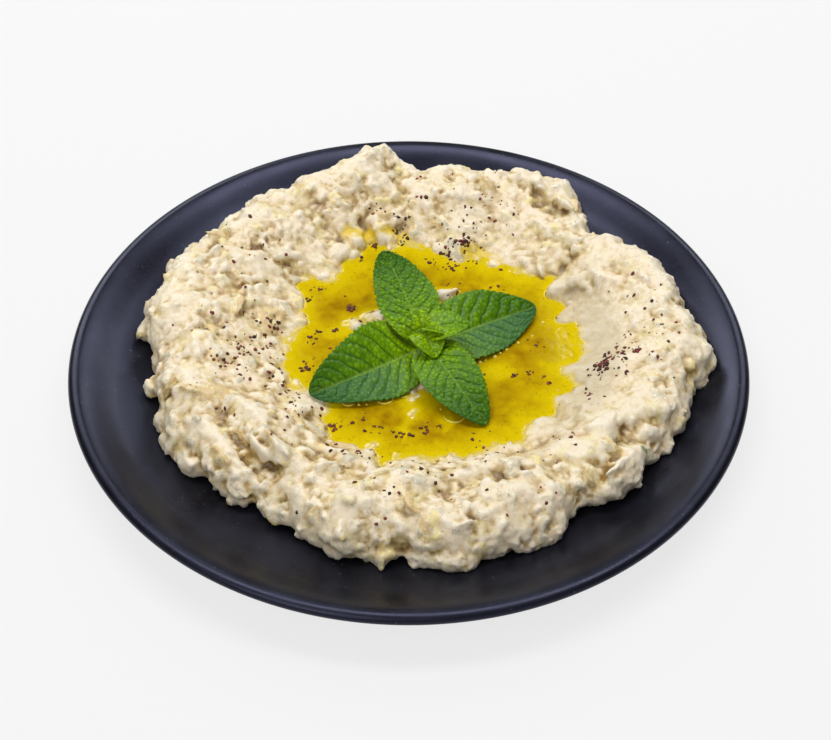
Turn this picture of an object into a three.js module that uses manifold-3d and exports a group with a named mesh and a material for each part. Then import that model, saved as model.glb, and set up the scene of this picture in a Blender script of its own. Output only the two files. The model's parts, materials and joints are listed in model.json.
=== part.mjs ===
// Baba ganoush: a chunky aubergine dip spread on a round stoneware plate. A spoon has pressed a well
// into it, which holds a pool of olive oil round a low mound. A sprig of mint stands on the mound, and
// coarse flakes of sumac lie on the dip and float on the oil.
//
// Millimetres, +Z up. The origin is the middle of the plate's foot, on the table. +Y is the far side.

import * as THREE from "three";
import { mergeVertices } from "three/addons/utils/BufferGeometryUtils.js";
import Module from "manifold-3d";

const wasm = await Module();
wasm.setup();

// ---------------------------------------------------------------- driving dimensions

const GAP = 0.3; // between solids that touch

const PLATE = {
  radius: 135, // a 27 cm dinner plate
  height: 20,
  floor: 6.5, // top of the flat middle
  flatRadius: 88, // where the flat middle starts to rise
  innerRadius: 131.2, // where the upper face meets the lip
  rise: 12.2, // from the flat middle to the lip
  risePower: 1.8,
  lipRadius: 2.2, // roundness of the lip
  wall: 4.6,
  footOuter: 83,
  footInner: 76,
  footHeight: 2,
  footSlope: 1.5,
  segments: 64,
};

const DIP = {
  centre: new THREE.Vector2(7, 3),
  edge: 109, // outline radius
  edgeToBack: 4.5, // more at the far side, less at the near side
  crest: 28.5, // height of the ring
  crestToBack: 3,
  flank: 17, // from the crest out to the outline
  flankToBack: -6,
  mound: 17, // radius of the mound in the middle, at the oil's level
  moundTop: 19.2,
  moatDepth: 5.2, // of oil, at its deepest
  tuck: 2, // how far the flank draws in under itself at the plate
  lumps: 330,
  lumpRadius: [4, 8.5],
  lumpHeight: [0.25, 0.42], // as a share of its radius
  segments: 108,
};

const OIL = {
  level: 15,
  pool: 59.5, // radius of the pool
  poolToRight: 3,
  poolToBack: 1.5,
  shore: 0.03, // share of the pool's width that the oil stays short of its two shores
  under: 0.45, // clearance between the oil and the dip below it
};

const MINT = {
  thickness: 0.5,
  stem: { x: 5.5, y: -1, bottom: 19.8, top: 32, radius: 1.4, tipRadius: 0.7 },
  stalk: 0.03, // share of a leaf's length
  stalkWidth: 1.6,
  fullness: 0.62, // below 1, a leaf is full towards both ends
  tooth: 0.03, // share of a leaf's half width
};

const SUMAC = {
  radius: [0.9, 1.3],
  narrowness: [0.55, 0.8],
  flatness: 0.5,
};

// ---------------------------------------------------------------- irregular outlines

// Each entry is [where in degrees, half width in degrees, how far out in mm]. Angles run anticlockwise
// from +X about the middle of the dip.
const EDGE_LOBES = [
  [0, 6, 7],
  [36, 7, -12],
  [44, 4, -13],
  [54, 8, 2],
  [78, 5, -6],
  [90, 7, -9],
  [101, 4, 7],
  [123, 5, 4],
  [140, 4, -5],
  [158, 8, 6],
  [173, 7, 6],
  [205, 8, 3],
  [234, 8, -7],
  [250, 4, 3],
  [264, 5, -3.5],
  [278, 6, 2.5],
  [287, 3, -3.5],
  [306, 5, -9],
  [327, 5, -5.5],
];

const CREST_PEAKS = [
  [43, 6, -5],
  [58, 8, -3.5],
  [80, 8, -2],
  [102, 5, 4.5],
  [123, 6, -1.5],
  [143, 6, -2],
  [236, 8, -3],
  [258, 9, 1.5],
  [306, 7, -4],
  [345, 10, -1.5],
];

const POOL_TONGUES = [
  [40, 3, 11],
  [62, 5, -3],
  [78, 6, -7],
  [97, 6, 8],
  [110, 4.5, 15],
  [121, 4, 9],
  [141, 5, 11],
  [163, 7, -6],
  [212, 9, -12],
  [234, 6, 5],
  [255, 4, 7],
  [296, 4, -3],
  [314, 4.5, -6],
  [333, 4, -7],
  [350, 4.5, -8],
];

const MOUND_ARMS = [
  [75, 14, 5],
  [152, 15, 14],
  [268, 14, 6],
];

// Folds that the spoon left in the dip. Each is a line from one point to another on the plate, with how
// far it stands up (or, below zero, cuts in) and its half width.
const FOLDS = [
  { from: [-73, -41], to: [-52, -66], up: -6, width: 3.6 }, // the deep crease at the near left
  { from: [-66, -34], to: [-45, -62], up: 2.6, width: 4 }, // its lip
  { from: [-62, -46], to: [-33, -58], up: -3, width: 3 },
  { from: [2, -83], to: [33, -70], up: -3.2, width: 3 }, // the long crease in front
  { from: [0, -75], to: [36, -62], up: 2.4, width: 3.6 },
  { from: [38, -56], to: [54, -46], up: -3.4, width: 3 },
  { from: [70, -66], to: [84, -46], up: -5.5, width: 3.4 }, // the deep crease at the near right
  { from: [84, -46], to: [99, -40], up: -3.4, width: 3 },
  { from: [64, 42], to: [77, 46], up: 3, width: 3.2 }, // the curl at the right
  { from: [77, 46], to: [84, 30], up: 2.6, width: 3.2 },
  { from: [56, 84], to: [68, 76], up: -3, width: 3 },
  { from: [-77, 33], to: [-66, 42], up: -3, width: 3 },
  { from: [-20, 88], to: [4, 94], up: -2.6, width: 3.4 },
];

const mix = THREE.MathUtils.lerp;
const toDegrees = (angle) => (THREE.MathUtils.radToDeg(angle) + 360) % 360;

/** The sum at an angle of smooth bumps round a circle. */
function bumps(angle, list) {
  const here = toDegrees(angle);
  let sum = 0;
  for (const [at, halfWidth, out] of list) {
    const away = Math.abs(((here - at + 540) % 360) - 180);
    sum += out * Math.exp(-((away / halfWidth) ** 2));
  }
  return sum;
}

/** A small ripple round a circle, 1 mm or so, out of three waves that don't line up. */
const ripple = (angle) =>
  0.6 * Math.sin(13 * angle + 1) + 0.5 * Math.sin(21 * angle + 2.3) + 0.4 * Math.sin(33 * angle);

function edgeRadius(angle) {
  return DIP.edge + DIP.edgeToBack * Math.sin(angle) + bumps(angle, EDGE_LOBES) + ripple(angle);
}

function crestRadius(angle) {
  const lobes = 0.6 * bumps(angle, EDGE_LOBES);
  const flank = DIP.flank + DIP.flankToBack * Math.sin(angle);
  return DIP.edge + DIP.edgeToBack * Math.sin(angle) + lobes - flank;
}

const crestHeight = (angle) =>
  DIP.crest + DIP.crestToBack * Math.sin(angle) + bumps(angle, CREST_PEAKS);

function poolRadius(angle) {
  const round = OIL.pool + OIL.poolToRight * Math.cos(angle) + OIL.poolToBack * Math.sin(angle);
  return round + bumps(angle, POOL_TONGUES) + ripple(angle);
}

const moundRadius = (angle) => DIP.mound + bumps(angle, MOUND_ARMS);

// ---------------------------------------------------------------- small helpers

/** A repeatable random number source, 0 to 1. */
function seeded(seed) {
  let state = seed;
  return () => {
    state = (state * 1664525 + 1013904223) % 4294967296;
    return state / 4294967296;
  };
}

function geometryFrom(positions, index) {
  const geometry = new THREE.BufferGeometry();
  geometry.setAttribute("position", new THREE.Float32BufferAttribute(positions, 3));
  geometry.setIndex(index);
  geometry.computeVertexNormals();
  return geometry;
}

/** A closed surface over rings of points. The first and last rings are single points. */
function ringSolid(ringCount, segments, pointAt) {
  const positions = [];
  const index = [];
  positions.push(...pointAt(0, 0));
  for (let ring = 1; ring < ringCount - 1; ring++)
    for (let k = 0; k < segments; k++) positions.push(...pointAt(ring, (k / segments) * 2 * Math.PI));
  positions.push(...pointAt(ringCount - 1, 0));
  const at = (ring, k) => 1 + (ring - 1) * segments + (k % segments);
  const last = positions.length / 3 - 1;
  for (let k = 0; k < segments; k++) {
    index.push(0, at(1, k), at(1, k + 1));
    for (let ring = 1; ring < ringCount - 2; ring++) {
      index.push(at(ring, k), at(ring + 1, k), at(ring + 1, k + 1));
      index.push(at(ring, k), at(ring + 1, k + 1), at(ring, k + 1));
    }
    index.push(last, at(ringCount - 2, k + 1), at(ringCount - 2, k));
  }
  return geometryFrom(positions, index);
}

/** A closed ring. At each angle its points make a loop that runs outwards below and inwards above. */
function loopSolid(steps, segments, pointAt) {
  const positions = [];
  const index = [];
  for (let step = 0; step < steps; step++)
    for (let k = 0; k < segments; k++) positions.push(...pointAt(step, (k / segments) * 2 * Math.PI));
  const at = (step, k) => (step % steps) * segments + (k % segments);
  for (let step = 0; step < steps; step++)
    for (let k = 0; k < segments; k++) {
      index.push(at(step, k), at(step + 1, k + 1), at(step + 1, k));
      index.push(at(step, k), at(step, k + 1), at(step + 1, k + 1));
    }
  return geometryFrom(positions, index);
}

/** A thin solid between a sheet and its copy below, with the same triangles on both faces. */
function sheetSolid(along, across, pointAt, thickness) {
  const positions = [];
  const index = [];
  for (const side of [0.5, -0.5])
    for (let i = 0; i <= along; i++)
      for (let j = 0; j <= across; j++) {
        const [x, y, z] = pointAt(i / along, (2 * j) / across - 1);
        positions.push(x, y, z + side * thickness);
      }
  const at = (face, i, j) => (face * (along + 1) + i) * (across + 1) + j;
  const quad = (a, b, c, d) => index.push(a, b, c, a, c, d);
  for (let i = 0; i < along; i++)
    for (let j = 0; j < across; j++) {
      quad(at(0, i, j), at(0, i + 1, j), at(0, i + 1, j + 1), at(0, i, j + 1));
      index.push(at(1, i, j), at(1, i + 1, j + 1), at(1, i + 1, j));
      index.push(at(1, i, j), at(1, i, j + 1), at(1, i + 1, j + 1));
    }
  for (let i = 0; i < along; i++) {
    quad(at(1, i, 0), at(1, i + 1, 0), at(0, i + 1, 0), at(0, i, 0));
    quad(at(0, i, across), at(0, i + 1, across), at(1, i + 1, across), at(1, i, across));
  }
  for (let j = 0; j < across; j++) {
    quad(at(0, 0, j), at(0, 0, j + 1), at(1, 0, j + 1), at(1, 0, j));
    quad(at(1, along, j), at(1, along, j + 1), at(0, along, j + 1), at(0, along, j));
  }
  return geometryFrom(positions, index);
}

function toManifold(geometry) {
  const bare = geometry.clone();
  bare.deleteAttribute("normal");
  bare.deleteAttribute("uv");
  const merged = mergeVertices(bare, 1e-4);
  return new wasm.Manifold(
    new wasm.Mesh({
      numProp: 3,
      vertProperties: merged.attributes.position.array,
      triVerts: new Uint32Array(merged.index.array),
    }),
  );
}

function toGeometry(manifold) {
  const { vertProperties, triVerts } = manifold.getMesh();
  return geometryFrom(Array.from(vertProperties), Array.from(triVerts));
}

function mesh(name, geometry, material) {
  const made = new THREE.Mesh(geometry, material);
  made.name = name;
  return made;
}

const material = (color, roughness) => new THREE.MeshStandardMaterial({ color, roughness, metalness: 0 });

// ---------------------------------------------------------------- plate

// Radii at which the upper and the lower face change slope.
const UPPER_STATIONS = [0, PLATE.flatRadius, 99, 108, 116, 123, 128, PLATE.innerRadius];
const LOWER_STATIONS = [101, 116, 129];

/** Height of the plate's upper face at one of its stations. */
function plateRise(radius) {
  const share = (radius - PLATE.flatRadius) / (PLATE.innerRadius - PLATE.flatRadius);
  return PLATE.floor + PLATE.rise * Math.max(0, share) ** PLATE.risePower;
}

/** Height of the plate's upper face at any radius, straight between its stations. */
function plateTop(radius) {
  const k = UPPER_STATIONS.findIndex((station) => station > radius);
  const [from, to] = [UPPER_STATIONS[k - 1], UPPER_STATIONS[k]];
  return mix(plateRise(from), plateRise(to), (radius - from) / (to - from));
}

function plateGeometry() {
  const profile = [
    [0, PLATE.footHeight],
    [PLATE.footInner - PLATE.footSlope, PLATE.footHeight],
    [PLATE.footInner, 0],
    [PLATE.footOuter, 0],
    [PLATE.footOuter + PLATE.footSlope, PLATE.footHeight],
    ...LOWER_STATIONS.map((station) => [station, plateRise(station - 2) - PLATE.wall]),
  ];
  for (const turn of [-45, 0, 45, 90]) {
    const angle = THREE.MathUtils.degToRad(turn);
    profile.push([
      PLATE.radius - PLATE.lipRadius * (1 - Math.cos(angle)),
      PLATE.height - PLATE.lipRadius * (1 - Math.sin(angle)),
    ]);
  }
  for (const station of UPPER_STATIONS.toReversed()) profile.push([station, plateRise(station)]);
  const points = profile.map(([radius, height]) => new THREE.Vector2(radius, height));
  return new THREE.LatheGeometry(points, PLATE.segments).rotateX(Math.PI / 2);
}

// ---------------------------------------------------------------- dip

// The dip's surface is a set of closed rows round its middle. They run over the mound, down and up
// through the moat to the pool's edge, up the slope to the crest, down the flank, and in underneath.
const MOUND_ROWS = 3;
const MOAT_ROWS = 6;
const SLOPE_ROWS = 6;
const FLANK_ROWS = 8;
const MOAT_START = MOUND_ROWS;
const SLOPE_START = MOAT_START + MOAT_ROWS;
const FLANK_START = SLOPE_START + SLOPE_ROWS;
const BOTTOM_START = FLANK_START + FLANK_ROWS;
const BOTTOM_SHARE = 0.82; // of the outline, for the one row underneath

function onPlan(radius, angle) {
  return [DIP.centre.x + radius * Math.cos(angle), DIP.centre.y + radius * Math.sin(angle)];
}

const onPlate = (radius, angle) => plateTop(Math.hypot(...onPlan(radius, angle))) + GAP;

/** The smooth dip at a row, before any relief: its radius and height, and how much it faces outwards. */
function dipProfile(row, angle) {
  const mound = moundRadius(angle);
  const pool = poolRadius(angle);
  const crest = crestRadius(angle);
  const top = crestHeight(angle);
  if (row <= MOAT_START) {
    const share = row / MOUND_ROWS;
    return { radius: share * mound, height: mix(DIP.moundTop, OIL.level, share ** 2), out: 0 };
  }
  if (row <= SLOPE_START) {
    const share = (row - MOAT_START) / MOAT_ROWS;
    const depth = DIP.moatDepth * 4 * share * (1 - share);
    return { radius: mix(mound, pool, share), height: OIL.level - depth, out: 0 };
  }
  if (row <= FLANK_START) {
    const share = (row - SLOPE_START) / SLOPE_ROWS;
    const climb = share + 0.5 * share ** 2 * (1 - share);
    return { radius: mix(pool, crest, share), height: mix(OIL.level, top, climb), out: 0 };
  }
  const share = (row - FLANK_START) / FLANK_ROWS;
  const turn = (share * Math.PI) / 2;
  const tucked = DIP.tuck * THREE.MathUtils.clamp((share - 0.8) / 0.2, 0, 1);
  const radius = mix(crest, edgeRadius(angle), Math.sin(turn) ** 0.85) - tucked;
  return { radius, height: mix(onPlate(radius, angle), top, Math.cos(turn) ** 0.8), out: Math.sin(turn) };
}

/** Rounded lumps of aubergine that push the dip's skin out, on its slope, crest and flank. */
function makeLumps() {
  const random = seeded(41);
  return Array.from({ length: DIP.lumps }, () => {
    const angle = random() * 2 * Math.PI;
    const row = mix(SLOPE_START + 1.5, BOTTOM_START - 1, random());
    const { radius, height } = dipProfile(row, angle);
    const size = mix(...DIP.lumpRadius, random() ** 1.5);
    const up = size * mix(...DIP.lumpHeight, random());
    return { place: new THREE.Vector3(...onPlan(radius, angle), height), size, up };
  });
}

const LUMPS = makeLumps();
const LUMP_SINK = 0.8; // the skin between lumps lies this much lower than the smooth dip

function lumpRelief(place) {
  let highest = 0;
  for (const lump of LUMPS) {
    const share = 1 - place.distanceToSquared(lump.place) / lump.size ** 2;
    if (share > 0) highest = Math.max(highest, lump.up * share * (2 - share));
  }
  return highest - LUMP_SINK;
}

function foldRelief(x, y) {
  const here = new THREE.Vector3(x, y, 0);
  const nearest = new THREE.Vector3();
  let sum = 0;
  for (const fold of FOLDS) {
    const line = new THREE.Line3(new THREE.Vector3(...fold.from, 0), new THREE.Vector3(...fold.to, 0));
    line.closestPointToPoint(here, true, nearest);
    sum += fold.up * Math.exp(-((here.distanceTo(nearest) / fold.width) ** 2));
  }
  return sum;
}

/** How much relief shows: none under the oil or on the plate, and little where the spoon swept, right. */
function reliefShare(row, angle) {
  const { smoothstep } = THREE.MathUtils;
  const abovePool = smoothstep(row, SLOPE_START + 0.5, SLOPE_START + 3);
  const abovePlate = 1 - smoothstep(row, BOTTOM_START - 1.5, BOTTOM_START);
  const fromRight = Math.min(toDegrees(angle), 360 - toDegrees(angle));
  const inside = 1 - smoothstep(row, SLOPE_START + 3.5, FLANK_START + 1);
  const swept = 0.8 * inside * Math.exp(-((fromRight / 38) ** 2));
  return abovePool * abovePlate * (1 - swept);
}

function dipPoint(row, angle) {
  const { radius, height, out } = dipProfile(row, angle);
  const [x, y] = onPlan(radius, angle);
  const relief = lumpRelief(new THREE.Vector3(x, y, height)) + foldRelief(x, y);
  const push = reliefShare(row, angle) * relief;
  return [...onPlan(radius + push * out, angle), height + push * Math.sqrt(1 - out ** 2)];
}

function dipGeometry() {
  const underneath = { [BOTTOM_START + 1]: BOTTOM_SHARE, [BOTTOM_START + 2]: 0 };
  return ringSolid(BOTTOM_START + 3, DIP.segments, (row, angle) => {
    if (row <= BOTTOM_START) return dipPoint(row, angle);
    const radius = underneath[row] * dipProfile(BOTTOM_START, angle).radius;
    return [...onPlan(radius, angle), onPlate(radius, angle)];
  });
}

// ---------------------------------------------------------------- oil

/** The pool: a ring round the mound, flat on top, that follows the moat below with a small clearance. */
function oilGeometry() {
  const inner = MOAT_START + OIL.shore * MOAT_ROWS;
  const outer = SLOPE_START - OIL.shore * MOAT_ROWS;
  const moat = [1, 3, 5].map((row) => MOAT_START + row);
  const below = [inner, ...moat, outer].map((row) => ({ row, above: false }));
  const above = [outer, inner].map((row) => ({ row, above: true }));
  const loop = [...below, ...above];
  return loopSolid(loop.length, DIP.segments, (step, angle) => {
    const { radius, height } = dipProfile(loop[step].row, angle);
    return [...onPlan(radius, angle), loop[step].above ? OIL.level : height + OIL.under];
  });
}

// ---------------------------------------------------------------- mint

const BIG = { along: 18, across: 6, broadest: 0.82 };
const SMALL = { along: 10, across: 4, broadest: 0.85 };

// A leaf runs from its base, beside the stem, to its tip. Seen from the base towards the tip, rise says
// how steeply its left and right halves climb from the midrib, in degrees, and bow how far the midrib
// swings to the left. arch is how far it rises between base and tip.
const LEAVES = {
  mint_leaf_left: {
    ...BIG, base: [3.4, -2.1, 21.2], tip: [-38.6, -24.8, 19.4],
    width: 27, rise: [-17, 36], bow: 1, arch: 0.6, wave: 0.5,
  },
  mint_leaf_right: {
    ...BIG, base: [7.5, 0.3, 21.2], tip: [51.6, 26.6, 18],
    width: 26, rise: [28, -14.5], bow: 0, arch: 0.6, wave: 0.5,
  },
  mint_leaf_back: {
    ...BIG, base: [4.8, 1.3, 25], tip: [-10.6, 42.2, 34],
    width: 22.5, rise: [8, 4], bow: -2, arch: 2.5, wave: 0.5,
  },
  mint_leaf_front: {
    ...BIG, base: [6.9, -2.9, 25], tip: [29.6, -37.9, 16],
    width: 22.5, rise: [6, -4], bow: -1, arch: 3, wave: 0.4,
  },
  mint_small_right: {
    ...SMALL, base: [7.1, -0.6, 29.4], tip: [24, 3, 30.8],
    width: 14, rise: [14, 6], bow: 0.5, arch: 1.2, wave: 0.2,
  },
  mint_small_front: {
    ...SMALL, base: [6, -3, 27.2], tip: [11.2, -12.2, 26.2],
    width: 9, rise: [8, 8], bow: 0.5, arch: 0.8, wave: 0.1,
  },
  mint_bud_right: {
    ...SMALL, base: [7.1, -1.8, 32.6], tip: [13.6, -4.4, 32.4],
    width: 3.4, rise: [30, 30], bow: 0.3, arch: 0.5, wave: 0,
  },
  mint_bud_back: {
    ...SMALL, base: [5, 0.6, 31.8], tip: [2.6, 5.4, 36],
    width: 5, rise: [30, 30], bow: 0, arch: 0.5, wave: 0,
  },
};

/** Half the width of a leaf at a share of its length: a short stalk, then an oval blade with a tip. */
function leafHalfWidth(share, leaf) {
  const blade = Math.max(0, (share - MINT.stalk) / (1 - MINT.stalk));
  const oval = Math.sin(Math.PI * blade ** leaf.broadest) ** MINT.fullness;
  return mix(MINT.stalkWidth / 2, 0.3, share) + (leaf.width / 2) * oval;
}

/** A leaf along +X, with +Y to its left. Its edge is toothed. */
function leafGeometry(leaf, length) {
  const [left, right] = leaf.rise.map((angle) => Math.tan(THREE.MathUtils.degToRad(angle)));
  const pointAt = (share, side) => {
    const tooth = Math.round(share * leaf.along) % 2 ? MINT.tooth : -MINT.tooth;
    const across = side * leafHalfWidth(share, leaf) * (Math.abs(side) === 1 ? 1 + tooth : 1);
    const middle = Math.sin(Math.PI * share);
    const climb = Math.abs(across) * (side > 0 ? left : right) * Math.min(1, share * 5);
    const wave = leaf.wave * side * Math.sin(4 * Math.PI * share);
    return [share * length, across + leaf.bow * middle, leaf.arch * middle + climb + wave];
  };
  return sheetSolid(leaf.along, leaf.across, pointAt, MINT.thickness);
}

/** Turns a leaf so that it runs from its base to its tip, with its face up. */
function leafMesh(name, leaf, look) {
  const base = new THREE.Vector3(...leaf.base);
  const run = new THREE.Vector3(...leaf.tip).sub(base);
  const made = mesh(name, leafGeometry(leaf, run.length()), look);
  const along = run.normalize();
  const across = new THREE.Vector3(0, 0, 1).cross(along).normalize();
  const up = along.clone().cross(across);
  made.position.copy(base);
  made.quaternion.setFromRotationMatrix(new THREE.Matrix4().makeBasis(along, across, up));
  return made;
}

/** Mint has a four-sided stem. It thins towards the growing tip. */
function stemGeometry() {
  const { x, y, bottom, top, radius, tipRadius } = MINT.stem;
  return new THREE.CylinderGeometry(tipRadius, radius, top - bottom, 4, 4)
    .rotateX(Math.PI / 2)
    .translate(x, y, (top + bottom) / 2);
}

// ---------------------------------------------------------------- sumac

// Where the flakes fell: the middle of each pinch, how far it spread, and how many large flakes it has.
const PINCHES_ON_DIP = [
  { at: [80, -3], spread: 9, count: 16 },
  { at: [22, 62], spread: 9, count: 8 },
  { at: [-58, 2], spread: 13, count: 9 },
  { at: [-48, -38], spread: 11, count: 8 },
  { at: [74, -28], spread: 12, count: 5 },
  { at: [20, 80], spread: 15, count: 7 },
];

const PINCHES_ON_OIL = [
  { at: [-34, 20], spread: 12, count: 7 },
  { at: [50, 2], spread: 11, count: 6 },
  { at: [2, -42], spread: 12, count: 6 },
];

/** True where a flake would lie under or against a leaf. */
function nearLeaf(x, y, radius) {
  const here = new THREE.Vector3(x, y, 0);
  const nearest = new THREE.Vector3();
  return Object.values(LEAVES).some((leaf) => {
    const ends = [leaf.base, leaf.tip].map(([endX, endY]) => new THREE.Vector3(endX, endY, 0));
    new THREE.Line3(...ends).closestPointToPoint(here, true, nearest);
    return here.distanceTo(nearest) < leaf.width / 2 + radius + 1;
  });
}

function flakeGeometry(radius, random) {
  return new THREE.IcosahedronGeometry(radius, 0)
    .scale(1, mix(...SUMAC.narrowness, random()), SUMAC.flatness)
    .rotateZ(random() * Math.PI);
}

/** Fuses flakes to the solid they lie on, each half sunk where a ray from above meets it. */
function withFlakes(solid, pinches, seed, fits) {
  const random = seeded(seed);
  const ray = new THREE.Raycaster();
  const target = new THREE.Mesh(toGeometry(solid), new THREE.MeshBasicMaterial());
  const down = new THREE.Vector3(0, 0, -1);
  let made = solid;
  for (const pinch of pinches)
    for (let k = 0; k < pinch.count; k++) {
      const turn = random() * 2 * Math.PI;
      const away = pinch.spread * Math.sqrt(random());
      const radius = mix(...SUMAC.radius, random());
      const flake = flakeGeometry(radius, random);
      const x = pinch.at[0] + away * Math.cos(turn);
      const y = pinch.at[1] + away * Math.sin(turn);
      ray.set(new THREE.Vector3(x, y, 2 * DIP.crest), down);
      const hit = ray.intersectObject(target)[0];
      if (!hit || nearLeaf(x, y, radius) || !fits(hit, x, y)) continue;
      made = made.add(toManifold(flake.translate(x, y, hit.point.z)));
    }
  return made;
}

/** How far outside the pool's edge a point is, seen from above. */
function fromPoolEdge(x, y) {
  const away = new THREE.Vector2(x, y).sub(DIP.centre);
  return away.length() - poolRadius(away.angle());
}

// ---------------------------------------------------------------- the whole

const stoneware = material(0x3c3e48, 0.5);
const aubergine = material(0xe6dabd, 0.55);
const oliveOil = material(0xd0b100, 0.08);
const mintLeaf = material(0x3f8a1e, 0.5);
const mintStem = material(0x7fb23a, 0.5);

const dish = new THREE.Group();
dish.add(mesh("plate", plateGeometry(), stoneware));

const onGentleDip = (hit, x, y) => fromPoolEdge(x, y) > 2.5 && hit.face.normal.z > 0.6;
const dipSolid = withFlakes(toManifold(dipGeometry()), PINCHES_ON_DIP, 7, onGentleDip);
dish.add(mesh("dip", toGeometry(dipSolid), aubergine));

const onOpenOil = (hit, x, y) => fromPoolEdge(x, y) < -6 && hit.point.z > OIL.level - 0.01;
const oilSolid = withFlakes(toManifold(oilGeometry()), PINCHES_ON_OIL, 19, onOpenOil);
dish.add(mesh("olive_oil", toGeometry(oilSolid), oliveOil));

const sprig = new THREE.Group();
sprig.add(mesh("mint_stem", stemGeometry(), mintStem));
for (const [name, leaf] of Object.entries(LEAVES)) sprig.add(leafMesh(name, leaf, mintLeaf));
dish.add(sprig);

export default dish;
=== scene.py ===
# %% [markdown]
# # Baba ganoush on a plate
# Baba ganoush is a dip of mashed, roasted aubergine. It is spread on a stoneware plate, a spoon has pressed
# a well into it, and the well holds olive oil, a sprig of mint and flakes of sumac.
#
# The construction comes first, as a frame of plain solids at their real size: metres, +Z up, with the origin
# in the middle of the plate's foot. Each step below replaces a solid by a piece that looks like the real
# thing, in the same place.

# %% Load the frame
import json
import math

import bmesh
import bpy
import numpy as np
from mathutils import Euler, Matrix, Vector

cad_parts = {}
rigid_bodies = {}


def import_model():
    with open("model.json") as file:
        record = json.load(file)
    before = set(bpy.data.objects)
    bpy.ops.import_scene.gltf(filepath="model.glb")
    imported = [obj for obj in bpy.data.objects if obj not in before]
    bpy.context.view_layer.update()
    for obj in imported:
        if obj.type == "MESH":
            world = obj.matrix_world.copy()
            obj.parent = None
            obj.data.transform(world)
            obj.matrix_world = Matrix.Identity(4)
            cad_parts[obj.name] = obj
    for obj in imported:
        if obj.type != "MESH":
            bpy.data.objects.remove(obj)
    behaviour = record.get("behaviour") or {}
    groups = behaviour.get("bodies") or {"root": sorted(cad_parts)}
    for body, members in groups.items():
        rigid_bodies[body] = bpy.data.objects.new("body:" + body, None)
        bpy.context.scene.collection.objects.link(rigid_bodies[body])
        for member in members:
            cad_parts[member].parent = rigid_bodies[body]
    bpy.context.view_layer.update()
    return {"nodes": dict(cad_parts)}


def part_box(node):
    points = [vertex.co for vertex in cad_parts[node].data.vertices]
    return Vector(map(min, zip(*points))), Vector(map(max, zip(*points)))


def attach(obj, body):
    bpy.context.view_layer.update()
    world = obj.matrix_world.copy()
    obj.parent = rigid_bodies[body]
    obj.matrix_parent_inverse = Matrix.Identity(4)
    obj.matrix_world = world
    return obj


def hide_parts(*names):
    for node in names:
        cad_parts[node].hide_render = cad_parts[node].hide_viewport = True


MM = 0.001

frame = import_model()
print("frame:", sorted(frame["nodes"]))

# %% [markdown]
# ## Helpers for node trees
# Geometry Nodes and materials are both trees of nodes. Adding and linking each node by hand takes many
# lines, so here an output socket becomes a `Field`, which adds and multiplies as a number does. Each
# operation puts one Math node in the tree. The tree that comes out is the same as one that is drawn by hand.


# %% Nodes and links
def plug(value, socket):
    """Links a Field to an input socket, or types a plain value into it."""
    if isinstance(value, Field):
        value.tree.links.new(value.socket, socket)
    else:
        socket.default_value = value


def add_node(tree, kind, inputs=None, out=0, **settings):
    """Adds a node, fills its inputs by name or number, and gives one of its outputs as a Field."""
    made = tree.nodes.new(kind)
    for name, value in settings.items():
        setattr(made, name, value)
    for key, value in (inputs or {}).items():
        plug(value, made.inputs[key])
    return Field(tree, made.outputs[out])


# %% Fields
def of_one(operation):
    """A method that puts a Math node on a field."""
    return lambda field: field.math(operation, field)


def of_two(operation):
    """A method that puts a Math node on a field and a second value."""
    return lambda field, other: field.math(operation, field, other)


def turned_round(operation):
    """The same with the field as the second value, for sums that start with a plain number."""
    return lambda field, other: field.math(operation, other, field)


class Field:
    """An output socket that can be used in sums."""

    def __init__(self, tree, socket):
        self.tree = tree
        self.socket = socket

    def math(self, operation, *values):
        return add_node(self.tree, "ShaderNodeMath", dict(enumerate(values)), operation=operation)

    def vector(self, operation, *values, out=0):
        inputs = dict(enumerate(values))
        return add_node(self.tree, "ShaderNodeVectorMath", inputs, out, operation=operation)

    __add__ = of_two("ADD")
    __radd__ = turned_round("ADD")
    __sub__ = of_two("SUBTRACT")
    __rsub__ = turned_round("SUBTRACT")
    __mul__ = of_two("MULTIPLY")
    __rmul__ = turned_round("MULTIPLY")
    __truediv__ = of_two("DIVIDE")
    __pow__ = of_two("POWER")
    __gt__ = of_two("GREATER_THAN")
    __lt__ = of_two("LESS_THAN")
    least = of_two("MINIMUM")
    most = of_two("MAXIMUM")
    sin = of_one("SINE")
    cos = of_one("COSINE")
    exp = of_one("EXPONENT")
    size = of_one("ABSOLUTE")
    fract = of_one("FRACT")

    def __neg__(self):
        return self * -1.0

    def bell(self, width):
        """1 where the field is 0, falling to nothing over some widths."""
        share = self / width
        return (-(share * share)).exp()

    def ramp(self, low, high, at_low=0.0, at_high=1.0):
        """A smooth step from one value to another."""
        inputs = {"Value": self, 1: low, 2: high, 3: at_low, 4: at_high}
        return add_node(self.tree, "ShaderNodeMapRange", inputs, interpolation_type="SMOOTHSTEP")

    def parts(self):
        """The x, y and z of a vector."""
        made = self.tree.nodes.new("ShaderNodeSeparateXYZ")
        plug(self, made.inputs[0])
        return [Field(self.tree, socket) for socket in made.outputs]

    def xyz(self, x, y, z):
        """A vector from three numbers, in the tree that this field is in."""
        return add_node(self.tree, "ShaderNodeCombineXYZ", {0: x, 1: y, 2: z})

    def times(self, factor):
        """A vector times a number."""
        return add_node(self.tree, "ShaderNodeVectorMath", {0: self, "Scale": factor}, operation="SCALE")

    def plus(self, other):
        """A vector plus a vector."""
        return self.vector("ADD", self, other)

    def centred(self):
        """A colour of a noise, whose parts run from 0 to 1, as a push to any side."""
        return self.vector("SUBTRACT", self, (0.5, 0.5, 0.5))

    def output(self, name):
        """Another output of the same node."""
        return Field(self.tree, self.socket.node.outputs[name])


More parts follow.
